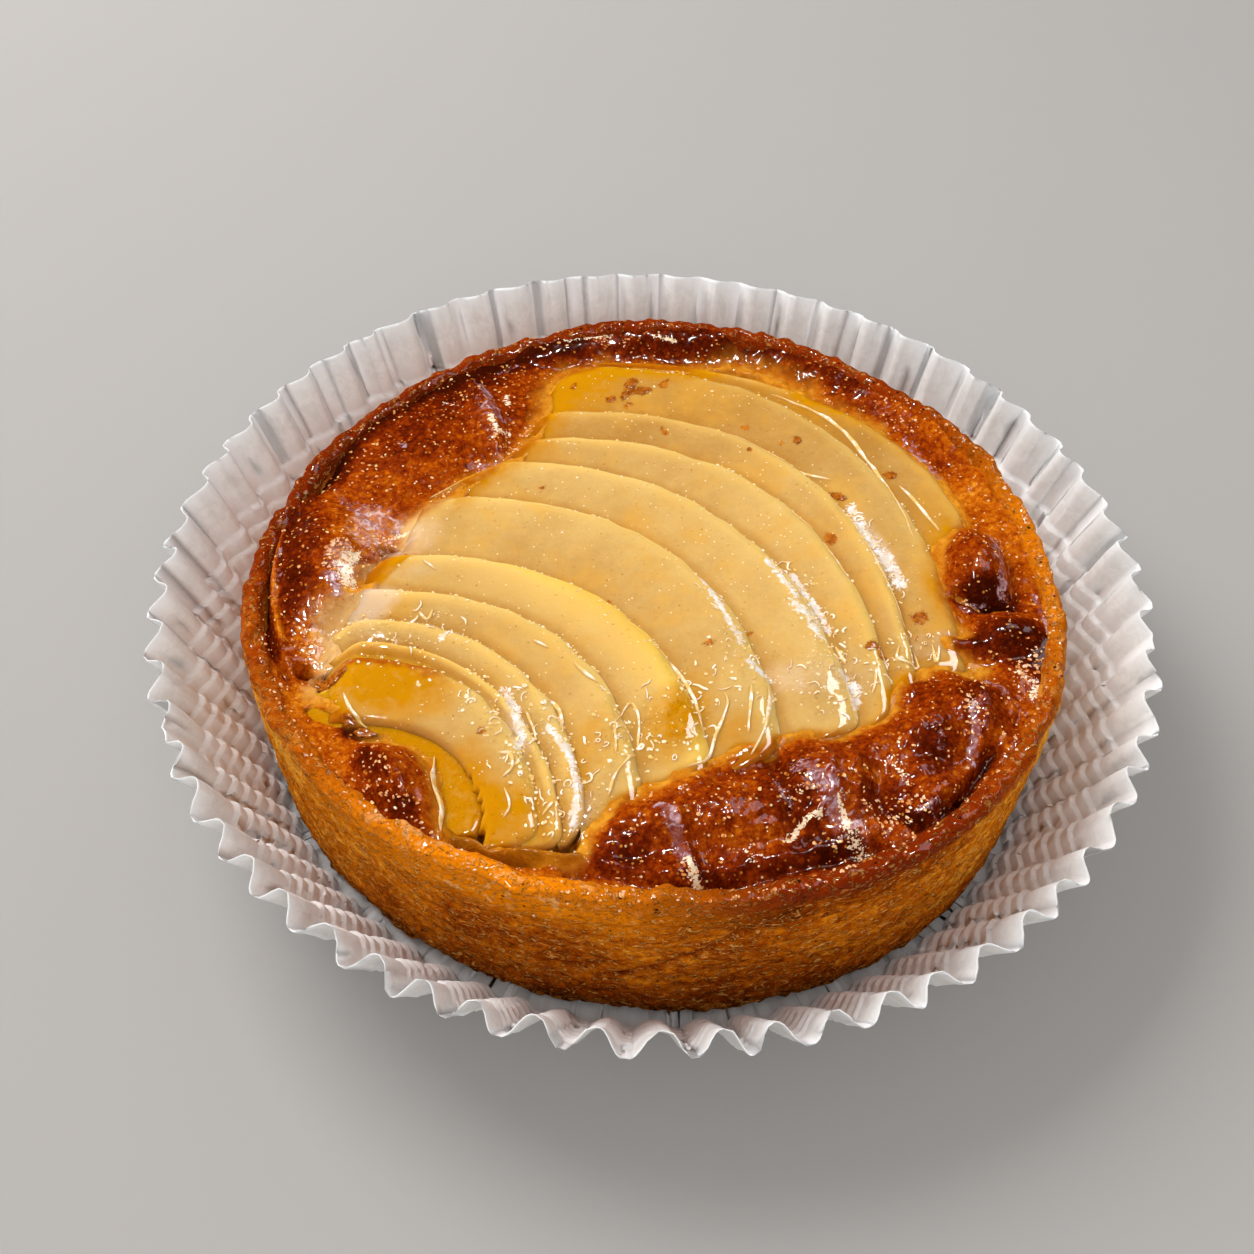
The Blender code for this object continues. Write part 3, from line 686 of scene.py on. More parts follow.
def pear_finish():
    """Cooked pear: pale, faintly clear flesh, yellower and lighter at the skin edge (the lighter band
    partly a painted highlight), with painted shade towards the next slice, wet with glaze.
    """
    finish = Finish("pear flesh")
    edge, tone, fold, wet, amber, toast, veil, stain, glare = map(
        finish.painted, ("edge", "tone", "fold", "wet", "amber", "toast", "veil", "stain", "glare"))
    cloud = finish.grain(6.0, 3.0, 0.5)
    fine = finish.grain(1.4, 3.0, 0.6)
    threads = finish.grain(0.45, 2.0, 0.5)
    ragged = finish.grain(0.8, 5.0, 0.75)
    # The flesh darkens towards the next slice as painted shade, with cloudy tone that differs at random
    depth = (tone + (cloud - 0.5) * 0.65 + (fine - 0.5) * 0.36 + (threads - 0.5) * 0.24).clipped()
    # A thin whitish glaze, partly a painted sheen
    veil = (veil * (0.3 + finish.grain(2.2, 4.0, 0.6, 0.8) * 1.2)).between(0.2, 1.0)
    stain = (stain * 1.1 + (ragged - 0.5) * 2.4).between(0.50, 0.95) * stain.between(0.02, 0.2)
    # Painted glints: pale dots over the pear
    glint_dots = finish.dots(1.0, 0.07, 0.13) * finish.grain(3.0, 1.0).between(0.36, 0.52)
    dots = finish.dots(1.7, 0.05, 0.10) * finish.grain(4.0, 1.0).between(0.46, 0.58)
    glare = ((glare + (finish.grain(0.9, 4.0, 0.65, 1.0) - 0.5) * 3.0).between(0.50, 0.86)
             * glare.between(0.02, 0.2))
    flesh = finish.mix(
        (219, 180, 109), ((178, 128, 58), depth),
        ((222, 166, 68), finish.grain(7.0, 3.0, 0.6).between(0.46, 0.70) * 0.5),
        # Painted contact shadow in the fold behind the next slice's edge, then the skin edge's lighter
        # band, partly a painted highlight
        ((182, 126, 48), (fold * (0.5 + fine * 0.6)).clipped()),
        ((236, 193, 104), (edge * (0.4 + fine * 0.7)).clipped()),
        ((240, 192, 82), ((edge - 1.0) * (0.6 + fine * 0.6)).clipped()),
        ((200, 134, 6), (amber * (0.35 + fine * 1.2)).clipped()),
        ((164, 78, 6), (toast * (0.4 + fine)).clipped()),
        ((232, 206, 180), veil * 0.6),
        (finish.mix((198, 116, 24), ((138, 58, 8), fine.between(0.35, 0.6))), stain * 0.92),
        ((255, 242, 204), glint_dots * 0.75),
        ((168, 110, 34), dots * 0.75),
        (finish.mix((240, 222, 206), ((255, 250, 246), fine.between(0.45, 0.6))), glare * 0.9))
    wave = finish.bump(finish.grain(3.0, 3.0, 0.5), 0.22, 0.8)
    ripples = finish.bump(finish.grain(1.1, 3.0, 0.55, 1.0) * wet, 0.55, 1.0, wave)
    sheen = finish.bump(finish.dots(1.25, 0.05, 0.20) + threads * 0.25, 0.08, 1.0, ripples)
    finish.surface(Base_Color=flesh, Normal=sheen, Roughness=0.5, Specular_IOR_Level=0.0,
                   Coat_Weight=1.0, Coat_Roughness=0.05, Coat_IOR=1.45, Subsurface_Weight=0.6,
                   Subsurface_Scale=0.0022, Subsurface_Radius=(1.0, 0.80, 0.45))
    return finish.material


def glaze_finish(name, light, dark, edge=None):
    """Set apricot glaze, clear and very glossy; its thin edges take the colour below."""
    finish = Finish(name)
    body = finish.mix(dark, (light, finish.grain(1.1, 3.0, 0.6).between(0.42, 0.64)))
    if edge:
        body = finish.mix(edge, (body, finish.painted("middle").between(0.25, 0.95)))
    finish.surface(Base_Color=body, Roughness=0.4,
                   Normal=finish.bump(finish.grain(1.1, 2.0, 0.5), 0.05, 0.8),
                   Specular_IOR_Level=0.0, Coat_Weight=1.0, Coat_Roughness=0.03)
    return finish.material


def fleck_finish():
    """Burnt bits of almond and batter."""
    finish = Finish("browned flecks")
    fine = finish.grain(0.5, 4.0, 0.65)
    finish.surface(Base_Color=finish.ramp(fine, (0.30, (104, 34, 4)), (0.62, (196, 112, 26))),
                   Normal=finish.bump(fine, 0.25, 1.0), Roughness=0.5, Specular_IOR_Level=0.0,
                   Coat_Weight=0.8, Coat_Roughness=0.08)
    return finish.material


def paper_finish():
    """Thin greaseproof paper, a little clear, with faint fibres; painted shade makes it warmer and greyer
    on the fold panels and ledge risers, with painted shadow lines in the ledge creases.
    """
    finish = Finish("pleated paper")
    fibres = finish.grain(1.3, 6.0, 0.68, 0.6)
    steep = (finish.painted("steep") * (0.72 + finish.grain(2.6, 4.0, 0.6) * 0.5)).clipped()
    white = finish.mix((247, 251, 254), ((252, 254, 255), fibres.between(0.3, 0.7)))
    shade_tint = finish.mix((229, 227, 224), ((245, 245, 244), fibres.between(0.36, 0.64)))
    paper = finish.mix(white, (shade_tint, steep), ((214, 204, 196), finish.painted("crease") * 0.3))
    finish.surface(Base_Color=paper, Roughness=0.6, Specular_IOR_Level=0.1,
                   Normal=finish.bump(fibres, 0.06, 0.8))
    through = finish.add("ShaderNodeBsdfTranslucent", None, {"Color": linear((250, 246, 242))})
    blend = finish.add("ShaderNodeMixShader", None,
                       {0: finish.painted("clear"), 1: finish.shader.outputs["BSDF"],
                        2: through.outputs["BSDF"]})
    finish.set_socket(finish.output.inputs["Surface"], blend.outputs[0])
    return finish.material


def floor_finish():
    finish = Finish("pale floor")
    finish.surface(Base_Color=finish.mix((167, 164, 162), ((168, 165, 163), finish.grain(30.0, 2.0, 0.5))),
                   Roughness=0.6, Specular_IOR_Level=0.0)
    return finish.material


# ------------------------------------------------------------------ paper case

CASE_FLUTES = 63
CASE_FOLDS = 14                 # points across each flute
CASE_FOOT_RADIUS = 49.1
CASE_LEDGE_RADIUS = 57.9        # where the seven small ledges end and the tall outer band begins
CASE_LEDGE_HEIGHT = 15.2
CASE_RIM_RADIUS = 61.15
CASE_RIM_HEIGHT = 21.9
CASE_RIM_RISE_BACK = 0.065
CASE_RIM_RISE_RIGHT = -0.02
CASE_FLUTE_DEPTH = 2.7
CASE_FLUTE_START = math.radians(-98.5)
CASE_WALL_LEAN = math.radians(30)
CASE_LEDGES = 7
CASE_PAPER = 0.12
SMALL_FLUTES = (16, 53)


def case_steps():
    """The paper's foot, its small ledges and its outer band, as (radius, height)."""
    steps = [(POLE, 0.0), (25.0, 0.0), (44.0, 0.0), (CASE_FOOT_RADIUS, 0.0)]
    run = (CASE_LEDGE_RADIUS - CASE_FOOT_RADIUS) / CASE_LEDGES
    rise = CASE_LEDGE_HEIGHT / CASE_LEDGES
    for ledge in range(CASE_LEDGES):
        for out, up in ((0.10, 0.10), (0.46, 0.80), (0.58, 0.92), (1.00, 1.00)):
            steps.append((CASE_FOOT_RADIUS + run * ledge + out * run, rise * ledge + up * rise))
    for out, up in ((0.15, 0.4), (1.0, 2.3), (2.1, 4.5)):
        steps.append((CASE_LEDGE_RADIUS + out, CASE_LEDGE_HEIGHT + up))
    return steps + [(CASE_RIM_RADIUS - 0.15, CASE_RIM_HEIGHT - 0.35), (CASE_RIM_RADIUS, CASE_RIM_HEIGHT)]


def fold_paper_case():
    columns = CASE_FLUTES * CASE_FOLDS
    case = lathe("pleated_paper_case", columns, case_steps())
    x, y, level = points_of(case).T
    radius = np.hypot(x, y)
    column = np.rint(np.arctan2(y, x) / (2 * math.pi) * columns).astype(int) % columns
    flute, fold = np.divmod(column, CASE_FOLDS)
    share = fold / CASE_FOLDS
    side = np.cos(2 * math.pi * share)
    side = side * (1.3 - 0.3 * side ** 2)       # rounder folds
    climb = np.clip(level / CASE_RIM_HEIGHT, 0.0, 1.0)

    panel = smoothly(0.09, 0.17, np.abs(share - np.rint(share)))
    ledge = np.remainder((radius - CASE_FOOT_RADIUS) / (CASE_LEDGE_RADIUS - CASE_FOOT_RADIUS)
                         * CASE_LEDGES, 1.0)
    tall = radius > CASE_LEDGE_RADIUS + 0.6
    shade = panel * (0.30 + 0.45 * climb)
    # Painted shade: beige on the fold panels away from the outer tips and on the ledge risers; painted
    # shadow lines in the ledge creases
    paint(case, steep=np.select(
        [tall, radius > CASE_LEDGE_RADIUS - 0.3, radius < CASE_FOOT_RADIUS, (ledge > 0.05) & (ledge < 0.7)],
        [0.9 * panel * smoothly(1.0, 0.93, climb), 0.0, 0.1, shade], 0.1 * shade),
        crease=(ledge < 0.14) & (radius > CASE_FOOT_RADIUS) & ~tall,
        clear=0.07 + 0.20 * panel * smoothly(0.6, 0.9, climb))

    around = 2 * math.pi * column / columns
    ring = np.stack([np.cos(around), np.sin(around)])
    sway = 0.09 * lumps(*(40 * ring), 0.5, 3.1) + 0.16 * lumps(*(40 * ring), 9.0 + climb * 3.0, 6.0) * climb
    angle = CASE_FLUTE_START + (flute + share + sway) * 2 * math.pi / CASE_FLUTES
    depth = 0.5 * CASE_FLUTE_DEPTH * (0.34 + 0.66 * climb ** 0.7) * smoothly(30.0, 48.0, radius)
    depth = depth * (1.0 + 0.25 * lumps(*(60 * ring), 4.0, 3.0))
    small = np.isin(flute + (share > 0.5), SMALL_FLUTES) & (side > 0)
    depth = depth - np.where(small, 1.3 * climb * side, 0.0)
    radius = radius + side * depth * math.cos(CASE_WALL_LEAN)
    shift = 0.7 * lobed(angle) + angle_sum(angle, (-90, 60, 0.8))
    radius = radius + shift * (1.0 - climb) * smoothly(20.0, 44.0, radius)
    x, y = radius * np.cos(angle), radius * np.sin(angle)
    rim = 1.0 + (CASE_RIM_RISE_BACK * y + CASE_RIM_RISE_RIGHT * x) / CASE_RIM_HEIGHT
    z = np.where(level < 0.01, 0.0, level * rim - side * depth * math.sin(CASE_WALL_LEAN) * climb)
    wall = smoothly(1.0, 8.0, z)
    z = z + 0.10 * wall * lumps(x, y, z, 3.0, 9.0)
    x = x + 0.14 * wall * lumps(x, y, z, 4.5, 19.0)
    y = y + 0.14 * wall * lumps(x, y, z, 4.5, 29.0)
    move_points(case, np.stack([x, y, np.maximum(z, 0.0)], axis=-1))
    apply_modifier(case, "SOLIDIFY", thickness=CASE_PAPER * MM, offset=-1.0)
    smooth_all(case)
    return dress(case, paper_finish(), "paper_case")


# ------------------------------------------------------------------ pastry shell

def lobed(turn):
    """The ring is a little out of round."""
    return 0.8 * np.cos(3 * (turn - math.radians(80)))


def angle_bump(turn, middle, width):
    """1 in the direction of middle, falling to 0 at width degrees either side."""
    away = np.abs(np.remainder(np.degrees(turn) - middle + 180.0, 360.0) - 180.0)
    return 1.0 - smoothly(0.0, width, away)


def angle_sum(turn, *bumps):
    """Bumps of (middle, width, amount) added up."""
    return sum(amount * angle_bump(turn, middle, width) for middle, width, amount in bumps)


CRUST_CRACK = ((-4.0, 8.3), (3.0, 13.0), (7.5, 16.5), (9.5, 19.0))     # along the front and up
# How much darker or paler the shoulder and the rim are baked, as (direction, width, amount)
SHOULDER_BROWNINGS = ((-68, 34, 0.18), (-155, 32, -0.16), (-27, 28, -0.16), (-108, 28, -0.10))
RIM_BROWNINGS = ((84, 42, 0.26), (122, 20, 0.12), (160, 30, 0.40), (185, 40, 0.14),
                 (-50, 34, 0.30), (5, 30, -0.14), (-112, 40, -0.16), (100, 20, 0.10))


def crust_profile():
    """Half of the shell's section, from the middle of its underside round to the middle inside."""
    foot = 0.25
    steps = [(POLE, foot), (30.0, foot), (FOOT_RADIUS - 1.6, foot), (FOOT_RADIUS - 0.35, foot + 0.35)]
    steps += [(FOOT_RADIUS + (RIM_RADIUS - FOOT_RADIUS) * step / 11, foot + (RIM_HEIGHT - foot) * step / 11)
              for step in range(1, 11)]
    steps += [(RIM_RADIUS - reach, RIM_HEIGHT - drop) for reach, drop in (
        (0.05, 1.2), (0.45, 0.25), (1.2, 0.0), (2.0, 0.2), (CRUST_WALL, 1.0), (CRUST_WALL + 0.1, 3.0))]
    return steps + [(FOOT_RADIUS - CRUST_WALL, CRUST_FLOOR), (30.0, CRUST_FLOOR), (POLE, CRUST_FLOOR)]


def bake_crust():
    crust = lathe("shortcrust_shell", 190, crust_profile())
    apply_modifier(crust, "SUBSURF", levels=2, render_levels=2)
    x0, y0, height = points_of(crust).T
    radius = np.hypot(x0, y0)
    turn = np.arctan2(y0, x0)
    outer = smoothly(46.6, 47.6, radius)
    rim = smoothly(21.6, 24.0, height)
    x, y = np.cos(turn) * 50.0, np.sin(turn) * 50.0
    grown = lobed(turn) * smoothly(10.0, 44.0, radius)
    grown += outer * (0.26 * lumps(x, y, height * 2.6, 6.0) + 0.26 * lumps(x, y, height * 2.6, 2.4, 7.0)
                      + 0.22 * lumps(x, y, height * 2.2, 1.2, 3.0))
    grown += outer * rim * (0.45 * lumps(x, y, height, 2.0, 31.0) + 0.35 * lumps(x, y, height, 5.0, 41.0))
    crags = (0.40 * lumps(x, y, 0.0, 2.6, 11.0) + 0.45 * lumps(x, y, 30.0, 8.0)
             + 0.40 * lumps(x0, y0, 0.0, 1.2, 5.0))
    radius = radius + grown + outer * rim * angle_sum(turn, (35, 30, 0.5))
    height = height + rim * (crags + angle_sum(turn, *RIM_LIFT))
    foot_line = smoothly(3.4, 0.2, height) * outer
    radius = radius + foot_line * (0.60 * lumps(x, y, height * 0.8, 1.1, 51.0) - 0.10)
    radius = radius + smoothly(10.0, 1.0, height) * outer * angle_sum(turn, (-90, 60, 0.8))
    x, y = radius * np.cos(turn), radius * np.sin(turn)
    crease = distance_to_line(x, height, CRUST_CRACK)
    cut = np.where(y < -30.0, 0.35 * smoothly(0.9, 0.0, crease), 0.0)
    move_points(crust, np.stack([x, y + cut, height], axis=-1))

    inside = smoothly(RIM_RADIUS - 1.4, RIM_RADIUS - 2.6, radius) * rim
    middle = smoothly(6.0, 13.0, height) * smoothly(20.0, 17.0, height)
    # Painted shade: the side is browned darker at the front, away from the light, and paler to the left and
    # right
    browning = (0.28 + 0.36 * smoothly(7.5, 0.5, height)
                + angle_sum(turn, (-90, 62, 0.17), (-155, 50, -0.12), (-28, 50, -0.12))
                + middle * angle_sum(turn, (-72, 45, -0.10))
                + smoothly(17.0, 21.0, height) * angle_sum(turn, *SHOULDER_BROWNINGS)
                + rim * (0.18 + angle_sum(turn, *RIM_BROWNINGS))
                + inside * (0.12 + angle_sum(turn, (140, 50, 0.3))) + 0.6 * cut)
    golden = angle_bump(turn, -112, 40) * smoothly(16.0, 21.5, height)
    paint(crust, browning=browning, golden=0.9 * golden + rim * angle_sum(turn, (8, 34, 0.5)),
          ruddy=rim * np.clip(1.0 - golden - angle_bump(turn, 8, 40), 0.0, 1.0))
    smooth_all(crust)
    return dress(crust, crust_finish(), "pastry_shell")


# ------------------------------------------------------------------ pears

def edge_line(edge, share):
    """Spots along a skin edge; shares past 0 and 1 run on straight."""
    power = 2.0 / edge.squareness
    last = math.acos(((edge.end - edge.low) / (edge.top - edge.low)) ** (1.0 / power))

    def on_edge(part):
        turn = part * last
        return (edge.left + (edge.right - edge.left) * np.sin(turn) ** power,
                edge.low + (edge.top - edge.low) * np.cos(turn) ** power)

    x, y = on_edge(np.clip(share, 0.0, 1.0))
    x1, y1 = on_edge(1.0)
    x0, y0 = on_edge(0.96)
    length = math.hypot(x1 - x0, y1 - y0)
    past = np.maximum(share - 1.0, 0.0) * END_RUN
    before = np.maximum(-share, 0.0) * END_RUN
    x = x + past * (x1 - x0) / length - before * 0.95
    y = y + past * (y1 - y0) / length - before * 0.30
    return x, y


def fan_spot(position, share):
    """A spot in the fan: position 0 is the back slice's edge, 1 the next one's, and so on."""
    position = np.asarray(position, dtype=float)
    index = np.clip(position.astype(int), 0, len(EDGES) - 2)
    spots = np.zeros((2, *np.shape(share)))
    for number in np.unique(index):
        first, second = (np.array(edge_line(edge, share)) for edge in EDGES[number:number + 2])
        spots = np.where(index == number, first + (second - first) * (position - number), spots)
    return spots


def bed_height(x, y):
    return BED_LEVEL + FAN_DOME * (1.0 - ((x - FAN_MIDDLE[0]) ** 2 + (y - FAN_MIDDLE[1]) ** 2) / 42.0 ** 2)


def slice_face(index, across, share):
    """Height of a slice's face above the bed: across is 0 at its skin edge, 1 at the next one."""
    melted = 0.65 * smoothly(0.50, 0.92, share) * (index < 8)
    fall = CREST[index + 1] - STEP[index + 1] * (1.0 - melted) - CREST[index]
    swell = 0.85 * np.sin(math.pi * np.clip(across, 0.0, 1.0) ** 0.55) * (STEP[index + 1] > 0)
    ends = 0.9 * smoothly(0.90, 1.06, share) + (0.5 + 1.5 * (index > 4)) * smoothly(0.03, -0.06, share)
    return CREST[index] + fall * across + swell - ends


def wet_places(x, y):
    return np.clip(patch_sum(WET_PATCHES, x, y, 1.0), 0.0, 1.0)


FACE_ROWS = 34
NOSE = 2.5                      # how far the rounded skin edge reaches in
GOLDEN_SLICE = 6                # its skin edge is the yellowest


def lay_slice(index):
    """One pear slice, from its rounded skin edge to where it runs under the next one."""
    front = index == len(EDGES) - 2
    reach = 1.0 if front else 1.0 + TUCK
    rows = FACE_ROWS + 8
    last_share = 1.07 if index < 8 else 1.0
    body = SLICE_BODY + 0.6 * front

    def place(across, along):
        share = -0.07 + (0.07 + last_share) * along
        row = np.rint(across * rows).astype(int) % rows
        on_face = row < FACE_ROWS
        part = reach * np.where(on_face, (np.minimum(row, FACE_ROWS - 1) / (FACE_ROWS - 1)) ** 1.5,
                                1.0 - (row - FACE_ROWS + 1) / (rows - FACE_ROWS))
        trim = 0.55 * (1.0 - quarter_round(np.minimum(share + 0.07, last_share - share) / 0.05))
        part = trim + part * (1.0 - trim / reach)
        x, y = fan_spot(index + part, share)
        x0, y0 = fan_spot(index + trim, share)
        level = quarter_round(np.hypot(x - x0, y - y0) / NOSE)
        wobble = 0.30 * lumps(x, y, index * 3.0, 3.4, 60.0) * (1.0 - np.clip(part, 0.0, 1.0))
        if front:
            x1, y1 = fan_spot(index + reach, share)
            level = np.minimum(level, quarter_round(np.hypot(x1 - x, y1 - y) / 0.8))
            torn = smoothly(0.9, 1.0, part) * smoothly(0.60, 0.75, share)
            wobble = wobble + torn * 0.8 * lumps(x, y, 0.0, 1.0, 71.0)
        top = bed_height(x, y) + slice_face(index, part, share)
        wave = 0.20 * lumps(x, y, index * 7.0, 8.0) + 0.10 * lumps(x, y, index * 5.0, 2.6, 3.0)
        ruffle = wet_places(x, y) * (0.34 * lumps(x, y, 3.0, 2.3, 33.0)
                                     + 0.16 * lumps(x, y, 3.0, 1.1, 43.0))
        face = top - body * 0.72 * (1.0 - level) + (wave + ruffle) * level
        return np.stack([x + wobble, y + wobble, np.where(on_face, face, top - body)], axis=-1)

    return close_up(lay_grid("pear_slice_%02d_flesh" % (index + 1), rows, 160, place))


def paint_slice(piece, index):
    """Yellow along the skin edge and lighter there as a painted highlight, duller towards the next slice as
    painted shade with a painted contact shadow behind its edge, amber where the filling laps over.
    """
    x, y, _ = points_of(piece).T
    shares = np.linspace(-0.05, 1.05, 80)
    own, following = (distance_to_line(x, y, list(zip(*edge_line(edge, shares))))
                      for edge in EDGES[index:index + 2])
    part = own / (own + following + 0.01)
    shore = depth_inside(x, y) + 0.7 * lumps(x, y, 0.0, 3.0, 2.0)
    near_back = smoothly(5.0, 20.0, y - 0.6 * x)
    reach = 1.6 + 3.2 * near_back + 2.6 * smoothly(26.0, 34.0, x)
    lapped = np.where((x < -26.0) & (y > -16.0), 0.25, np.where(x > 30.0, 0.6, 0.95))
    # The skin edge's lighter band is partly a painted highlight
    edge = 0.9 * smoothly(3.4, 0.4, own) * smoothly(0.75, 0.35, part)
    if index == GOLDEN_SLICE:
        edge = edge + 1.1 * smoothly(7.5, 2.0, own) * smoothly(-28.0, -10.0, x)
    toast = 0.8 * smoothly(1.1, -0.3, shore)
    if index == len(EDGES) - 2:
        crisp = own + 0.7 * lumps(x, y, 0.0, 1.3)
        toast = toast + 1.1 * smoothly(2.3, 1.0, crisp) * smoothly(-23.0, -27.0, x)
    # Painted shade: the tone darkens towards the next slice, and a painted contact shadow lies just behind
    # the next slice's edge
    paint(piece, edge=edge, toast=toast, wet=wet_places(x, y), veil=patch_sum(VEILS_AND_SHEEN, x, y, 0.8),
          tone=(0.06 + 0.42 * part + SLICE_TONE[index] + 0.45 * smoothly(10.0, 34.0, y)
                + 0.22 * smoothly(16.0, 30.0, x)),
          fold=0.6 * smoothly(1.5, 0.2, following) * smoothly(0.55, 0.8, part),
          amber=(0.30 * smoothly(20.0, 38.0, y) + patch_sum(AMBER_PATCHES, x, y, 1.0)
                 + lapped * smoothly(1.0, 0.0, shore / reach) + 1.4 * golden_tongue(x, y)),
          glare=line_sum([Line(line.path, line.width * 1.6, 1.0) for line in GLAZE_RIDGES
                          if line.width >= POOL_WIDTH], x, y),
          stain=patch_sum([fleck._replace(long=fleck.long + 0.35, short=fleck.short + 0.35, amount=1.0)
                           for fleck in FLECKS], x, y, 0.9))


SLICE_TONE = (0.10, 0.06, 0.02, -0.06, -0.10, 0.04, -0.14, 0.02, -0.06, -0.25, 0.10)
# Thin whitish glaze on the pears, partly a painted sheen
VEILS_AND_SHEEN = patches(
    (20, -18, 9, 5, 10, 0.55), (12, -17, 6, 3, -30, 0.4), (27.6, 4, 9, 2.2, 107, 0.85),
    (33, -12, 6, 3, 10, 0.6), (18, -6, 9, 3, 112, 0.45), (-31, 5, 6, 4.6, 20, 0.75),
    (-30, -2, 5, 1.6, 0, 0.55), (-34, -12, 4, 2.4, 0, 0.5), (-34.5, -7, 5, 3.4, 30, 1.2),
    (-15.6, -26, 5, 1.8, 110, 0.75), (-8, -37, 4, 2, 60, 0.6), (-12, -24, 6, 1.6, 118, 0.45),
)
AMBER_PATCHES = patches(
    (-32, -19, 11.5, 6.4, -12, 1.25),           # left part of the front slice
    (-20, -34, 8, 3.4, 98, 1), (-8.6, -33, 4, 1.4, 96, 0.6), (1.6, -25.6, 7, 4.4, 70, 0.85),
    (8.6, -26, 4, 2.5, 40, 0.6), (-5, -10, 9, 3, -50, 0.15), (-9.6, 36, 8, 6, 50, 0.6),
    (-15, -34, 5, 3.6, 80, 0.35), (4, -22, 9, 3, 75, 0.3), (-7, -28, 6, 2.6, 70, 0.35),
    (0, 39.6, 12, 2.6, 0, 0.3), (36, 9, 9, 3, 100, 0.5), (33.8, -3, 6, 1.6, 95, 0.3),
    (27, -19.5, 4, 1.6, 60, 0.7), (-17, -38.4, 10, 5.6, -5, 0.9),
)
WET_PATCHES = patches(
    (-14, -29, 9, 5, 110, 1), (-4, -27, 8, 4.5, 80, 0.9), (3, -24, 8, 3.5, 70, 0.9),
    (9, -14, 12, 2.4, 108, 0.7), (18.4, -7, 9, 2.6, 112, 1), (20, -18, 6, 5, 60, 0.9),
    (27, 4, 10, 1.4, 107, 0.7), (29, -14, 6, 3, 30, 0.8), (-30, -11, 9, 3, 0, 0.6),
    (-8, -38, 5, 4, 60, 0.8), (-20, -22, 5, 3, 100, 0.3),
)


def lay_low_slice():
    """The slice that shows below the front one, at the left."""

    def place(across, along):
        line, slope, _ = along_path(LOW_SLICE_PATH, along)
        half = 3.2 * (1.0 - 0.5 * np.abs(2 * along - 1) ** 6)
        side, lift = np.cos(2 * math.pi * across), np.sin(2 * math.pi * across)
        side = np.sign(side) * np.abs(side) ** 0.6
        lift = np.sign(lift) * np.abs(lift) ** 0.7
        x, y = (line + square_to(slope) * (side * half + 0.6)[:, None]).T
        z = bed_height(x, y) + 1.9 + 1.1 * lift + 0.15 * lumps(x, y, 0.0, 3.0)
        return np.stack([x, y, z], axis=-1)

    piece = close_up(lay_grid("pear_slice_12_flesh", 24, 80, place))
    amber = 1.2 - 0.2 * smoothly(-24.0, -34.0, points_of(piece)[:, 1])
    # Even shares of the painted edge highlight and painted fold shade over the whole low slice
    paint(piece, edge=0.6, tone=0.4, fold=0.3, wet=0.6, toast=0.0, veil=0.0, glare=0.0, stain=0.0,
          amber=amber)
    return piece


def lay_pears():
    flesh = pear_finish()
    slices = [lay_slice(index) for index in range(len(EDGES) - 1)]
    for index, piece in enumerate(slices):
        paint_slice(piece, index)
        dress(piece, flesh, "pear_slice_%02d" % (index + 1))
    return slices + [dress(lay_low_slice(), flesh, "pear_slice_12")]


# ------------------------------------------------------------------ filling

class Ground:
    """Finds the height of the pieces below a spot, in millimetres."""

    def __init__(self, pieces):
        points = []
        faces = []
        for piece in pieces:
            start = len(points)
            points.extend(points_of(piece))
            faces.extend([start + corner for corner in face.vertices] for face in piece.data.polygons)
        self.tree = BVHTree.FromPolygons(points, faces)

    def heights(self, x, y):
        found = []
        for px, py in zip(x, y):
            spot = self.tree.ray_cast((px, py, 60.0), (0.0, 0.0, -1.0))[0]
            if spot is None:
                spot = self.tree.find_nearest((px, py, 23.0))[0]
            found.append(spot[2])
        return np.array(found)


FILLING_FLOOR = 4.1
FILLING_COLUMNS = 760
COLLAR_ROWS = 100
MIDDLE_ROWS = 9
COLLAR_DEPTH = 0.49             # share of the radius


def bake_filling(pears):
    """A fine collar out to the crust and a few rows that run on under the pears."""
    rows = COLLAR_ROWS + MIDDLE_ROWS
    ground = Ground(pears)

    def place(across, along):
        turn = 2 * math.pi * across
        row = np.rint(along * rows)
        collar = np.clip((row - 2) / (COLLAR_ROWS - 2), 0.0, 1.0)
        middle = np.clip((row - COLLAR_ROWS) / MIDDLE_ROWS, 0.0, 1.0)
        radius = (RIM_RADIUS + lobed(turn) - 1.5) * (1.0 - COLLAR_DEPTH * collar) * (1.0 - middle)
        radius = np.where(row == 0, 0.0, np.where(row == 1, FOOT_RADIUS - CRUST_WALL - 0.4, radius))
        x, y = radius * np.cos(turn), radius * np.sin(turn)
        return np.stack([x, y, np.where(row < 2, FILLING_FLOOR, filling_height(x, y, ground))], axis=-1)

    filling = close_up(lay_grid("baked_frangipane", FILLING_COLUMNS, rows, place))
    paint_filling(filling)
    return dress(filling, baked_filling_finish(), "frangipane")


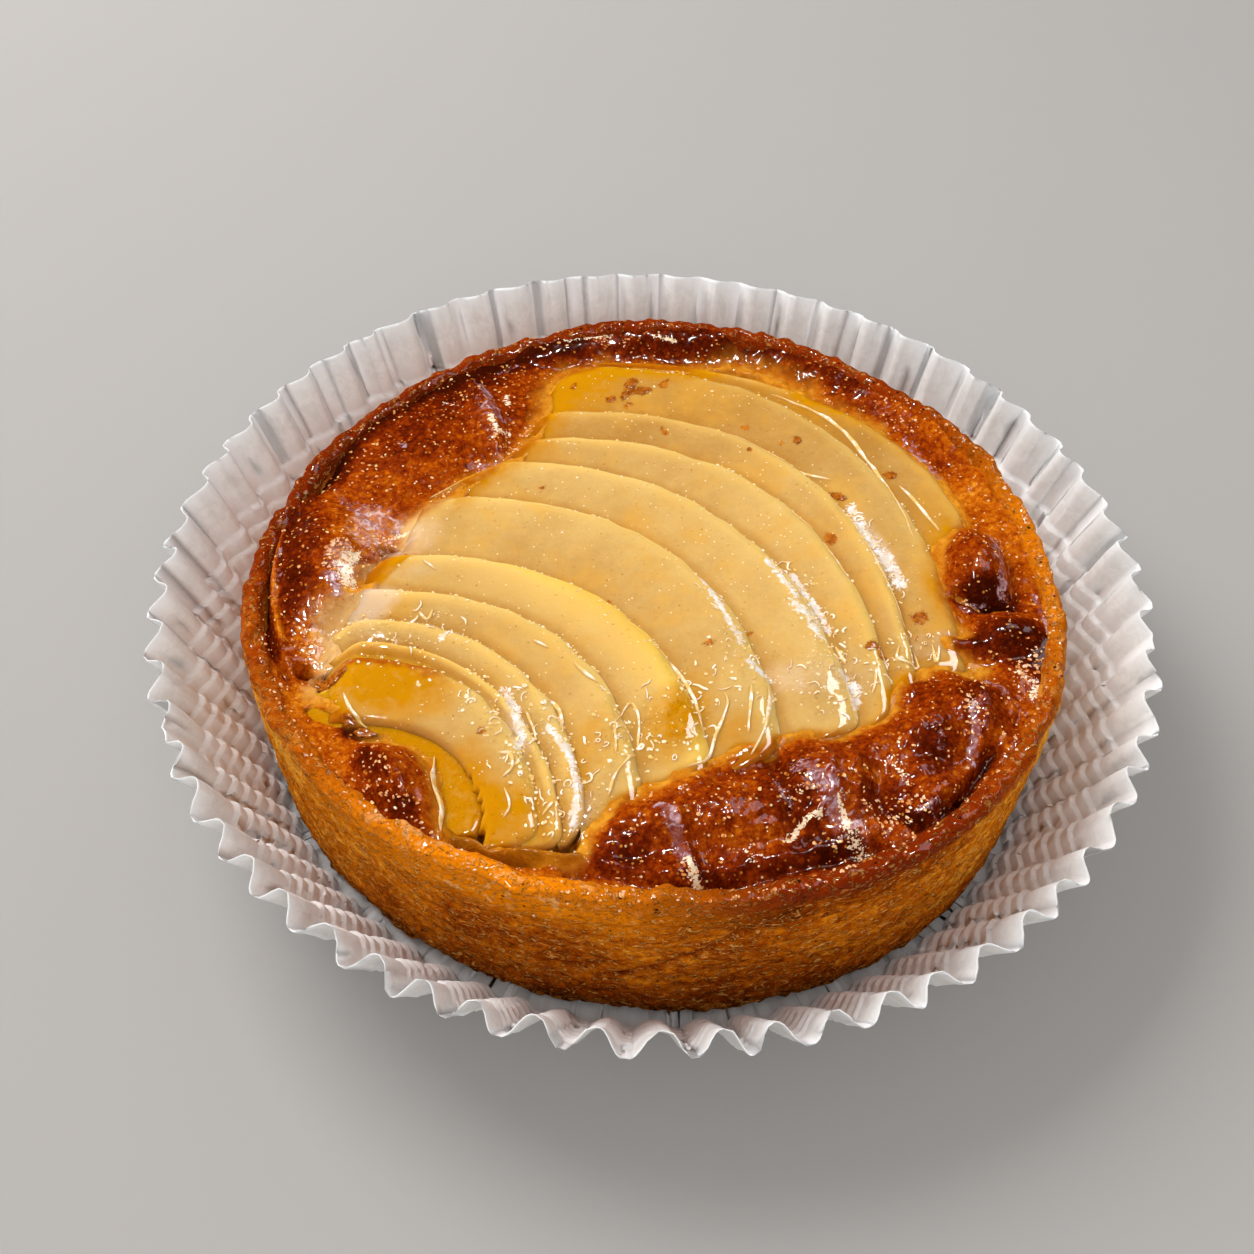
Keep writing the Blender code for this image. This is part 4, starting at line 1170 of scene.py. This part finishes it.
def filling_height(x, y, ground):
    shore = depth_inside(x, y) + 0.60 * lumps(x, y, 0.0, 3.0, 2.0) + 0.35 * lumps(x, y, 0.0, 1.2, 8.0)
    lift = angle_sum(np.arctan2(y, x), *FILLING_LIFT) * smoothly(43.0, 48.0, np.hypot(x, y))
    level = FILLING_LEVEL + 0.45 * lumps(x, y, 5.0, 8.0) + lift
    pear = ground.heights(x, y)
    close = (shore > -5.0) & (shore < 2.4)
    around = [ground.heights(x[close] + 1.5 * math.cos(step), y[close] + 1.5 * math.sin(step))
              for step in np.arange(0.0, 2 * math.pi, math.pi / 3)]
    pear[close] = 0.3 * pear[close] + 0.7 * np.mean(around, axis=0)
    film = pear + 0.08 + 0.40 * smoothly(0.4, -2.6, shore)
    open_places = sum(patch_shape(patch, x, y, 0.5) for patch in HOLLOWS[:2])
    near = smoothly(-5.0, -0.4, shore) * np.clip(1.0 - 1.6 * open_places, 0.0, 1.0)
    swell = patch_sum(SWELLS, x, y, 1.4) + line_sum(GROOVES + RIDGES, x, y) - patch_sum(HOLLOWS, x, y, 0.7)
    lumpy = 0.5 + 0.5 * smoothly(-10.0, -24.0, y) * smoothly(-8.0, 4.0, x)
    rough = lumpy * (0.60 * (craggy(x, y, 4.0, 4.0) - 0.45) + 0.16 * (craggy(x, y, 1.4, 14.0) - 0.45))
    z = level + (film - level) * near
    z = z + (swell + rough * smoothly(0.2, -2.0, shore)) * smoothly(0.6, -1.2, shore)
    return z - 3.0 * smoothly(0.5, 2.4, shore)


def golden_tongue(x, y):
    """A clear golden strip between the left puff and the pears."""
    strip = Line(((-30.8, 1.4), (-33.6, -1.6), (-36.8, -5.2)), 1.8, 1.0)
    return smoothly(0.1, 0.5, along_line(strip, x, y))


def paint_filling(filling):
    x, y, _ = points_of(filling).T
    shore = depth_inside(x, y) + 0.9 * lumps(x, y, 0.0, 3.0, 2.0) + 0.5 * lumps(x, y, 0.0, 1.1, 12.0)
    near_back = smoothly(5.0, 20.0, y - 0.6 * x)
    golden = golden_tongue(x, y)
    burnt = patch_sum(BURNT, x + 0.5 * lumps(x, y, 0.0, 0.9), y, 0.6)
    unburnt = np.clip(1.0 - burnt, 0.0, 1.0)
    browning = (0.44 + patch_sum(BROWNINGS, x, y, 1.0) + line_sum(BROWN_LINES, x, y)
                - 0.10 * smoothly(-3.0, -0.5, shore))
    melt = smoothly(-0.7 - 0.9 * smoothly(-20.0, -28.0, x), 0.5, shore)
    paint(filling, browning=np.minimum(browning + 0.5 * burnt, 0.98),
          thin=smoothly(-1.2 - 2.4 * near_back, 0.3, shore) * unburnt,
          pale=(smoothly(-24.0, -29.0, x) * smoothly(12.0, 7.0, y) * smoothly(-22.0, -15.0, y)
                * (1.0 - golden)),
          melt=np.clip(melt + golden, 0.0, 1.0) * unburnt,
          violet=line_sum(VIOLET_GLARES, x, y), cream=line_sum(CREAM_GLARES, x, y),
          hollow=np.clip(1.6 * sum(patch_shape(patch, x, y, 0.4) for patch in HOLLOWS), 0.0, 1.0),
          milky=patch_sum(MILKY_AND_SHEEN, x, y, 0.8))


# ------------------------------------------------------------------ glaze and small bits

GLAZE_RIDGES = lines(
    (((-4.7, -26), (-3.6, -23.4), (-2.8, -22.8), (-2, -25), (-2.2, -29.6)), 0.35, 0.32),
    (((-2.2, -29.6), (-4.5, -33), (-5.3, -35.4)), 0.4, 0.34),
    (((-4.7, -26), (-4.6, -28.5), (-4.5, -30.4)), 0.35, 0.3),
    (((7.6, -21), (7.9, -23), (6.8, -26.4), (5.4, -30.4), (3.2, -31.6)), 0.38, 0.34),
    (((10.8, -20), (10.5, -23), (10.2, -26.6)), 0.4, 0.3),
    (((12.8, -19.6), (12.6, -23), (12, -26), (10.4, -29.4)), 0.4, 0.32),
    (((10.6, -16.6), (13, -18.8)), 0.55, 0.34),
    (((5.4, -2.6), (7, -6.2), (8.2, -9), (9.8, -13.6)), 0.55, 0.38),
    (((0, -14), (2, -16.8), (4, -20.8), (5.4, -26.6)), 0.45, 0.34),
    (((13.6, 0.4), (15.2, -2.6), (16.8, -5.8)), 0.6, 0.42),
    (((16.6, -1), (18.4, -5.6)), 0.6, 0.36),
    (((18.8, -6), (19.8, -8.4), (20.6, -10.8)), 0.6, 0.42),
    (((16.4, -7.4), (18, -8.6), (18.6, -10.2)), 1, 0.36),
    (((18.4, -10.8), (19.6, -12.8)), 0.6, 0.36), (((21, -13), (22, -15.8)), 0.4, 0.3),
    (((21.2, -17.4), (23, -19.4), (22.4, -21.8)), 0.8, 0.34),
    (((25.4, -16.6), (25.2, -18.6), (24.6, -20.4)), 0.35, 0.28),
    (((26.2, -13.6), (27, -16.2)), 0.35, 0.28),
    (((28.6, -12.6), (28.2, -14.8), (30.6, -15.4), (30.2, -13.2)), 0.35, 0.28),
    (((32.6, -11.8), (32.8, -14.6), (33.4, -12)), 0.35, 0.28),
    (((26, 5.4), (27.4, 0), (28.6, -4), (29.8, -9.6)), 0.32, 0.26),
    (((25.2, 11.6), (26.4, 7), (28.4, 2.6), (30, -2.4)), 1.15, 0.3),
    (((20.8, 4.4), (22.4, 0.8), (23.6, -2.2)), 0.45, 0.26),
    (((17, 10.2), (18.6, 8.4), (19.8, 6.6)), 0.35, 0.24),
    (((8, 27.2), (15, 22.2), (19, 19.2), (23, 17.2)), 0.4, 0.18),
    (((16, 36.2), (22, 32.2), (26, 27.2), (29, 20.2), (31, 14.2), (32.6, 5.2)), 0.45, 0.28),
    (((32, 17), (34.2, 12.4), (36, 8)), 0.4, 0.24),
    (((-17.4, -20.6), (-16, -23.4), (-15.2, -27), (-15.3, -28.4)), 0.8, 0.42),
    (((-17.4, -29.4), (-16.2, -29.8), (-15.8, -31.6), (-16.8, -32.8)), 0.45, 0.34),
    (((-14.8, -23.6), (-13.8, -26), (-13.4, -27.8)), 0.32, 0.28),
    (((-12.4, -21.6), (-11, -23.6), (-10.2, -27)), 0.5, 0.32),
    (((-9.6, -17.2), (-8.2, -18.8), (-6.6, -20.2)), 0.5, 0.34),
    (((-12, -26.4), (-9.8, -29.4), (-8.8, -33), (-8.6, -36), (-9, -38.6)), 0.7, 0.38),
    (((-16.6, -34), (-15.8, -36.6), (-16.4, -38)), 0.35, 0.3),
    (((-11, -36.4), (-12.2, -37.6)), 0.45, 0.3), (((-29, -0.6), (-27, -2)), 0.4, 0.26),
    (((-37.4, -9), (-36.4, -10.6)), 0.4, 0.26),
    (((-28.6, -8.6), (-27.4, -9.6), (-26.8, -8.4)), 0.35, 0.26),
    (((-25.6, -13.4), (-24.4, -12.2)), 0.55, 0.3), (((-14.6, -13.6), (-12.6, -15)), 0.35, 0.28),
    (((-24.7, -29), (-24.3, -33), (-23.2, -36), (-23, -39.4)), 0.5, 0.75),
    (((-36, -20.6), (-34.6, -23.4), (-32.6, -25.4)), 0.35, 0.35),
)

POOL_WIDTH = 0.55               # wider ridges are pools that lie flat to the light
GLAZE_THICKNESS = 0.8           # times a ridge's amount

# Burnt bits of almond and filling on the pears: amount is their height, and low ones only stain
FLECKS = patches(
    (-3.6, 36.8, 1.6, 1, 60, 0.22), (-2, 35.4, 1.8, 0.9, 20, 0.22),
    (-4.4, 34.6, 1.2, 0.7, 80, 0.2), (-4, 32.6, 1.1, 0.5, 40, 0.18), (-6.4, 33.6, 1, 0.8, 0, 0.2),
    (-11.6, 36.4, 1, 0.6, 70, 0.18), (1.4, 37.4, 1.3, 0.4, 50, 0.18),
    (0.8, 36.4, 0.8, 0.4, 0, 0.18), (12, 27.8, 0.9, 0.45, 5, 0.18), (1, 25.8, 0.9, 0.4, -60, 0.18),
    (19, 24.9, 0.9, 0.7, -70, 0.22), (16.8, 24.6, 0.35, 0.3, 0, 0.15),
    (12.3, 22, 0.3, 0.25, 0, 0.15), (23.6, 14, 1.8, 0.7, -35, 0.4), (31, 19, 1.1, 0.8, -30, 0.28),
    (21.9, 5.6, 1.6, 0.8, -75, 0.1), (31.6, -7.8, 1.5, 1.4, 0, 0.16),
    (30.7, -11, 0.3, 0.25, 0, 0.14), (25.4, -13.4, 1.4, 0.8, 20, 0.26),
    (26.4, -14.6, 0.8, 0.5, 80, 0.2), (6, -13.6, 0.8, 0.5, 10, 0.1),
    (4.8, 20.2, 0.25, 0.2, 0, 0.12), (-15, 14, 0.3, 0.2, 0, 0.12),
    (11, -11.2, 0.35, 0.2, 60, 0.12), (-5.8, -5.9, 0.3, 0.25, 0, 0.14),
    (-19.6, -26.4, 0.6, 0.4, 60, 0.14), (-38.5, -18, 2.1, 1.4, 10, 0.8),
    (-37, -17.4, 1.3, 0.8, 40, 0.5), (-32.8, -25.9, 1.8, 0.8, -5, 0.45),
    (-35, -24.4, 1.2, 0.8, -30, 0.35),
)


def lay_glaze(name, ridges, light, dark, ground):
    """Threads or curls of set glaze on the pears, joined as one piece."""
    laid = []
    for number, line in enumerate(ridges):
        middles = []

        def place(across, along):
            middle, _, run = along_path(line.path, along)
            seen = middle[:, 0], middle[:, 1]
            wide = np.sqrt(np.clip(1.0 - np.abs(2 * along - 1) ** 2.6, 0.0, 1.0))
            wide = wide * (1.0 + 0.50 * lumps(*seen, number * 2.0, 2.4))
            side, up = np.cos(2 * math.pi * across), np.sin(2 * math.pi * across)
            aside = side * wide * line.width
            aside = aside * (1.0 + 0.2 * lumps(seen[0] + aside, seen[1], number * 7.0, 0.9))
            aside = aside + 0.8 * min(line.width, 0.5) * lumps(*seen, number * 5.0, 2.6)
            x, y = (middle + square_to(run) * aside[:, None]).T
            middles.append(np.clip(up, 0.0, 1.0) * np.clip(wide, 0.0, 1.0))
            rise = middles[-1] ** 0.6 * GLAZE_THICKNESS * line.amount
            return np.stack([x, y, ground.heights(x, y) + np.where(up > 0, rise, -0.2)], axis=-1)

        length = np.linalg.norm(np.diff(np.array(line.path), axis=0), axis=1).sum()
        ridge = lay_grid("glaze_ridge", 14, max(8, int(5 * length)), place)
        paint(ridge, middle=middles[-1])
        laid.append(close_up(ridge))
    finish = glaze_finish(name.replace("_", " "), light, dark, (228, 182, 108))
    return dress(join_all(laid, name), finish)


def glaze_curls():
    """Short curled threads in the wet places."""
    chance = np.random.default_rng(47)
    curls = []
    for patch in WET_PATCHES:
        for _ in range(int(2.3 * math.sqrt(patch.long * patch.short) * (0.6 + patch.amount))):
            spot = np.array(chance_spots(chance, patch))
            if depth_inside(*spot) < 1.2:
                continue
            heading = math.radians(patch.turn) + chance.normal(0.0, 0.8)
            bend = chance.normal(0.0, 0.9)
            path = [tuple(spot)]
            for _ in range(chance.integers(2, 6)):
                spot = spot + chance.uniform(0.25, 0.6) * np.array([math.cos(heading), math.sin(heading)])
                path.append(tuple(spot))
                heading += bend + chance.normal(0.0, 0.5)
            curls.append(Line(tuple(path), chance.uniform(0.06, 0.16), 0.22))
    return curls


def lay_all_glaze(ground):
    thin = [line._replace(width=line.width * 0.55) for line in GLAZE_RIDGES if line.width < POOL_WIDTH]
    # The curls and threads are near white: painted highlights of the glaze's glints
    return [lay_glaze("glaze_curls", glaze_curls(), (255, 252, 242), (255, 236, 196), ground),
            lay_glaze("glaze_threads", thin, (255, 250, 236), (236, 196, 116), ground)]


def scatter_drops(name, ground, spots, finish):
    """Tiny drops of glaze: each spot is x, y, half length, half width, height and turn."""
    pick()
    bpy.ops.mesh.primitive_ico_sphere_add(subdivisions=2, radius=MM)
    first = new_piece(name)
    along, across, up = points_of(first).T
    drops = []
    for (x, y, long, short, height, turn), level in zip(spots, ground.heights(spots[:, 0], spots[:, 1])):
        drop = first.copy()
        drop.data = first.data.copy()
        bpy.context.scene.collection.objects.link(drop)
        move_points(drop, np.stack([*turned(x, y, turn, along * long, across * short), level + up * height],
                                   axis=-1))
        drops.append(drop)
    bpy.data.objects.remove(first)
    scattered = join_all(drops, name)
    smooth_all(scattered)
    return dress(scattered, finish)


def drop_sizes(chance, count, largest):
    long = 0.11 + (largest - 0.11) * chance.uniform(0.0, 1.0, count) ** 1.6
    return np.stack([long, long * chance.uniform(0.45, 0.95, count), chance.uniform(0.04, 0.10, count),
                     chance.uniform(0.0, math.pi, count)], axis=-1)


def lay_pear_drops(ground):
    """Drops along the skin edges and in the wet places."""
    chance = np.random.default_rng(11)
    spots = []
    for index in range(1, len(EDGES) - 1):
        count = 55 + 15 * (index > 5)
        spots.append(fan_spot(index + np.minimum(chance.exponential(0.12, count), 0.9),
                              chance.uniform(0.0, 0.97, count)))
    for patch in WET_PATCHES:
        count = int(5.0 * math.sqrt(patch.long * patch.short) * (1.0 + patch.amount))
        spots.append(chance_spots(chance, patch, count))
    x, y = np.hstack(spots)
    spots = np.column_stack([x, y, drop_sizes(chance, len(x), 0.34)])[depth_inside(x, y) > 0.8]
    # Pale cream drops, their colour partly painted glints
    finish = glaze_finish("glaze drops", (255, 242, 208), (236, 192, 108))
    return scatter_drops("glaze_drops", ground, spots, finish)


# Rough pale places of the filling, thick with grains of set glaze, their cream colour partly a painted
# highlight
GRAINY = patches(
    (-39.2, -0.8, 3, 1.6, 80, 90), (-35, 4, 2.4, 1.2, 60, 30), (-20.4, 23.8, 2.6, 1.4, -50, 50),
    (-17.6, 26.8, 1.6, 0.9, 70, 20), (3.6, -45, 1.8, 0.9, -60, 30),
    (15.6, -35.4, 2.4, 0.8, 50, 30), (25.4, -36, 4, 2.2, 20, 80), (35.4, -23.6, 3.4, 1, 80, 40),
    (43.6, -14.6, 4, 1.4, 60, 70), (-40.6, -14, 3.6, 1.4, 110, 50), (-6, 46.4, 2.4, 0.8, 10, 30),
    (33, 32, 5, 1.4, -58, 40), (-31, -33, 3.6, 2.2, -50, 40), (-27.4, -37, 3.6, 1, -38, 40),
)
RIM_GRAINS = [Patch(*turned(0.0, 0.0, math.radians(side), 48.2, 0.0), 5.5, 0.9, side + 90, 16)
              for side in range(-165, 45, 12)]


def lay_grains(ground):
    """Cream grains of set glaze, crowded on the rough pale places."""
    chance = np.random.default_rng(31)
    spots = []
    for patch in GRAINY + RIM_GRAINS:
        count = int(0.7 * patch.amount)
        spots.append(np.column_stack([*chance_spots(chance, patch, count),
                                      drop_sizes(chance, count, 0.34)]))
    # Cream colour partly a painted highlight
    finish = glaze_finish("cream grains", (246, 206, 166), (214, 134, 66))
    return scatter_drops("cream_grains", ground, np.vstack(spots), finish)


def lay_filling_drops(ground):
    """Drops all over the baked filling."""
    chance = np.random.default_rng(23)
    count = 2200
    far, around = np.sqrt(chance.uniform(0.2, 1.0, count)) * 49.4, chance.uniform(0.0, 2 * math.pi, count)
    x, y = far * np.cos(around), far * np.sin(around)
    spots = np.column_stack([x, y, drop_sizes(chance, count, 0.32)])[depth_inside(x, y) < -0.8]
    # Light caramel colour, partly painted glints
    finish = glaze_finish("caramel drops", (246, 196, 130), (196, 104, 28))
    return scatter_drops("caramel_drops", ground, spots, finish)


def lay_flecks(ground):
    """Small browned bits on the pears, joined as one piece."""
    flecks = []
    for number, fleck in enumerate(FLECKS):
        if fleck.amount < 0.20:
            continue

        def place(across, along):
            side, up = np.cos(2 * math.pi * across), np.sin(2 * math.pi * across)
            out = np.clip(along * 1.25, 0.0, 1.0)
            ragged = 0.8 * out * (1.0 + 0.6 * lumps(side, up, number * 3.0, 0.35))
            x, y = turned(fleck.x, fleck.y, math.radians(fleck.turn),
                          side * ragged * fleck.long, up * ragged * fleck.short)
            lift = (0.6 * fleck.amount * quarter_round(1.0 - out)
                    + 0.10 * lumps(x, y, 0.0, 0.5) * (out < 1.0))
            return np.stack([x, y, ground.heights(x, y) + np.where(along > 0.81, -0.2, lift)], axis=-1)

        flecks.append(close_up(lay_grid("fleck", 28, 6, place)))
    return dress(join_all(flecks, "browned_flecks"), fleck_finish())


# ------------------------------------------------------------------ floor, light and camera

def build_stage():
    pick()
    bpy.ops.mesh.primitive_plane_add(size=4.0, location=(0.0, 0.0, -0.0002))
    floor = new_piece("floor")
    bpy.ops.object.transform_apply(location=True, rotation=False, scale=False)
    floor.data.materials.append(floor_finish())


CAMERA_PLACE = (-0.003551, -0.132844, 0.153858)


def add_lamp(name, place, size, power, tint, glints=True, fills=True):
    """A square lamp aimed at the tart. It can serve the glints or the plain light alone."""
    lamp = bpy.data.lights.new(name, "AREA")
    lamp.shape = "RECTANGLE"
    lamp.size, lamp.size_y = size
    lamp.energy = power
    lamp.color = tint
    holder = bpy.data.objects.new(name, lamp)
    holder.location = place
    aim = Vector((0.0, 0.0, 0.02)) - Vector(place)
    holder.rotation_euler = aim.to_track_quat("-Z", "Y").to_euler()
    holder.visible_glossy = glints
    holder.visible_diffuse = fills
    bpy.context.scene.collection.objects.link(holder)


def light_scene():
    world = bpy.data.worlds.new("soft room")
    world.use_nodes = True
    background = world.node_tree.nodes["Background"]
    background.inputs["Color"].default_value = (1.0, 0.98, 0.96, 1.0)
    background.inputs["Strength"].default_value = 0.63
    world.cycles_visibility.glossy = False
    bpy.context.scene.world = world
    add_lamp("softbox", (-0.42, 0.36, 0.56), (0.46, 0.46), 5.2, (1.0, 0.99, 0.98), glints=False)
    add_lamp("fill", (0.10, -0.70, 0.60), (0.80, 0.60), 2.5, (1.0, 0.98, 0.96), glints=False)
    add_lamp("window", (0.32, 0.156, 0.483), (0.28, 0.24), 3.2, (0.97, 0.93, 1.0), fills=False)
    add_lamp("sparkle", (0.085, 0.03, 0.76), (0.05, 0.05), 11.0, (1.0, 0.98, 0.95), fills=False)
    add_lamp("side_sparkle", (-0.26, -0.22, 0.66), (0.03, 0.03), 4.0, (1.0, 0.97, 0.92), fills=False)
    view = bpy.context.scene.view_settings
    view.view_transform = "Standard"
    view.look = "None"


def place_camera():
    right = Vector((0.99983392, 0.01324942, 0.01251378))
    up = Vector((-0.01822475, 0.72688038, 0.68652223))
    back = right.cross(up).normalized()
    up = back.cross(right).normalized()
    camera = bpy.data.cameras.new("camera")
    camera.sensor_width = 36.0
    camera.lens = 43.062
    camera.clip_start = 0.01
    holder = bpy.data.objects.new("camera", camera)
    turn = Matrix((right.normalized(), up, back)).transposed().to_4x4()
    holder.matrix_world = Matrix.Translation(Vector(CAMERA_PLACE)) @ turn
    bpy.context.scene.collection.objects.link(holder)
    bpy.context.scene.camera = holder


# ------------------------------------------------------------------ the whole

pears = lay_pears()
filling = bake_filling(pears)
crust = bake_crust()
ground = Ground(pears + [filling, crust])
pieces = pears + [filling, crust, fold_paper_case(), lay_flecks(ground)] + lay_all_glaze(ground)
pieces += [lay_pear_drops(ground), lay_filling_drops(ground), lay_grains(ground)]
for piece in pieces:
    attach(piece, "root")
build_stage()
light_scene()
place_camera()
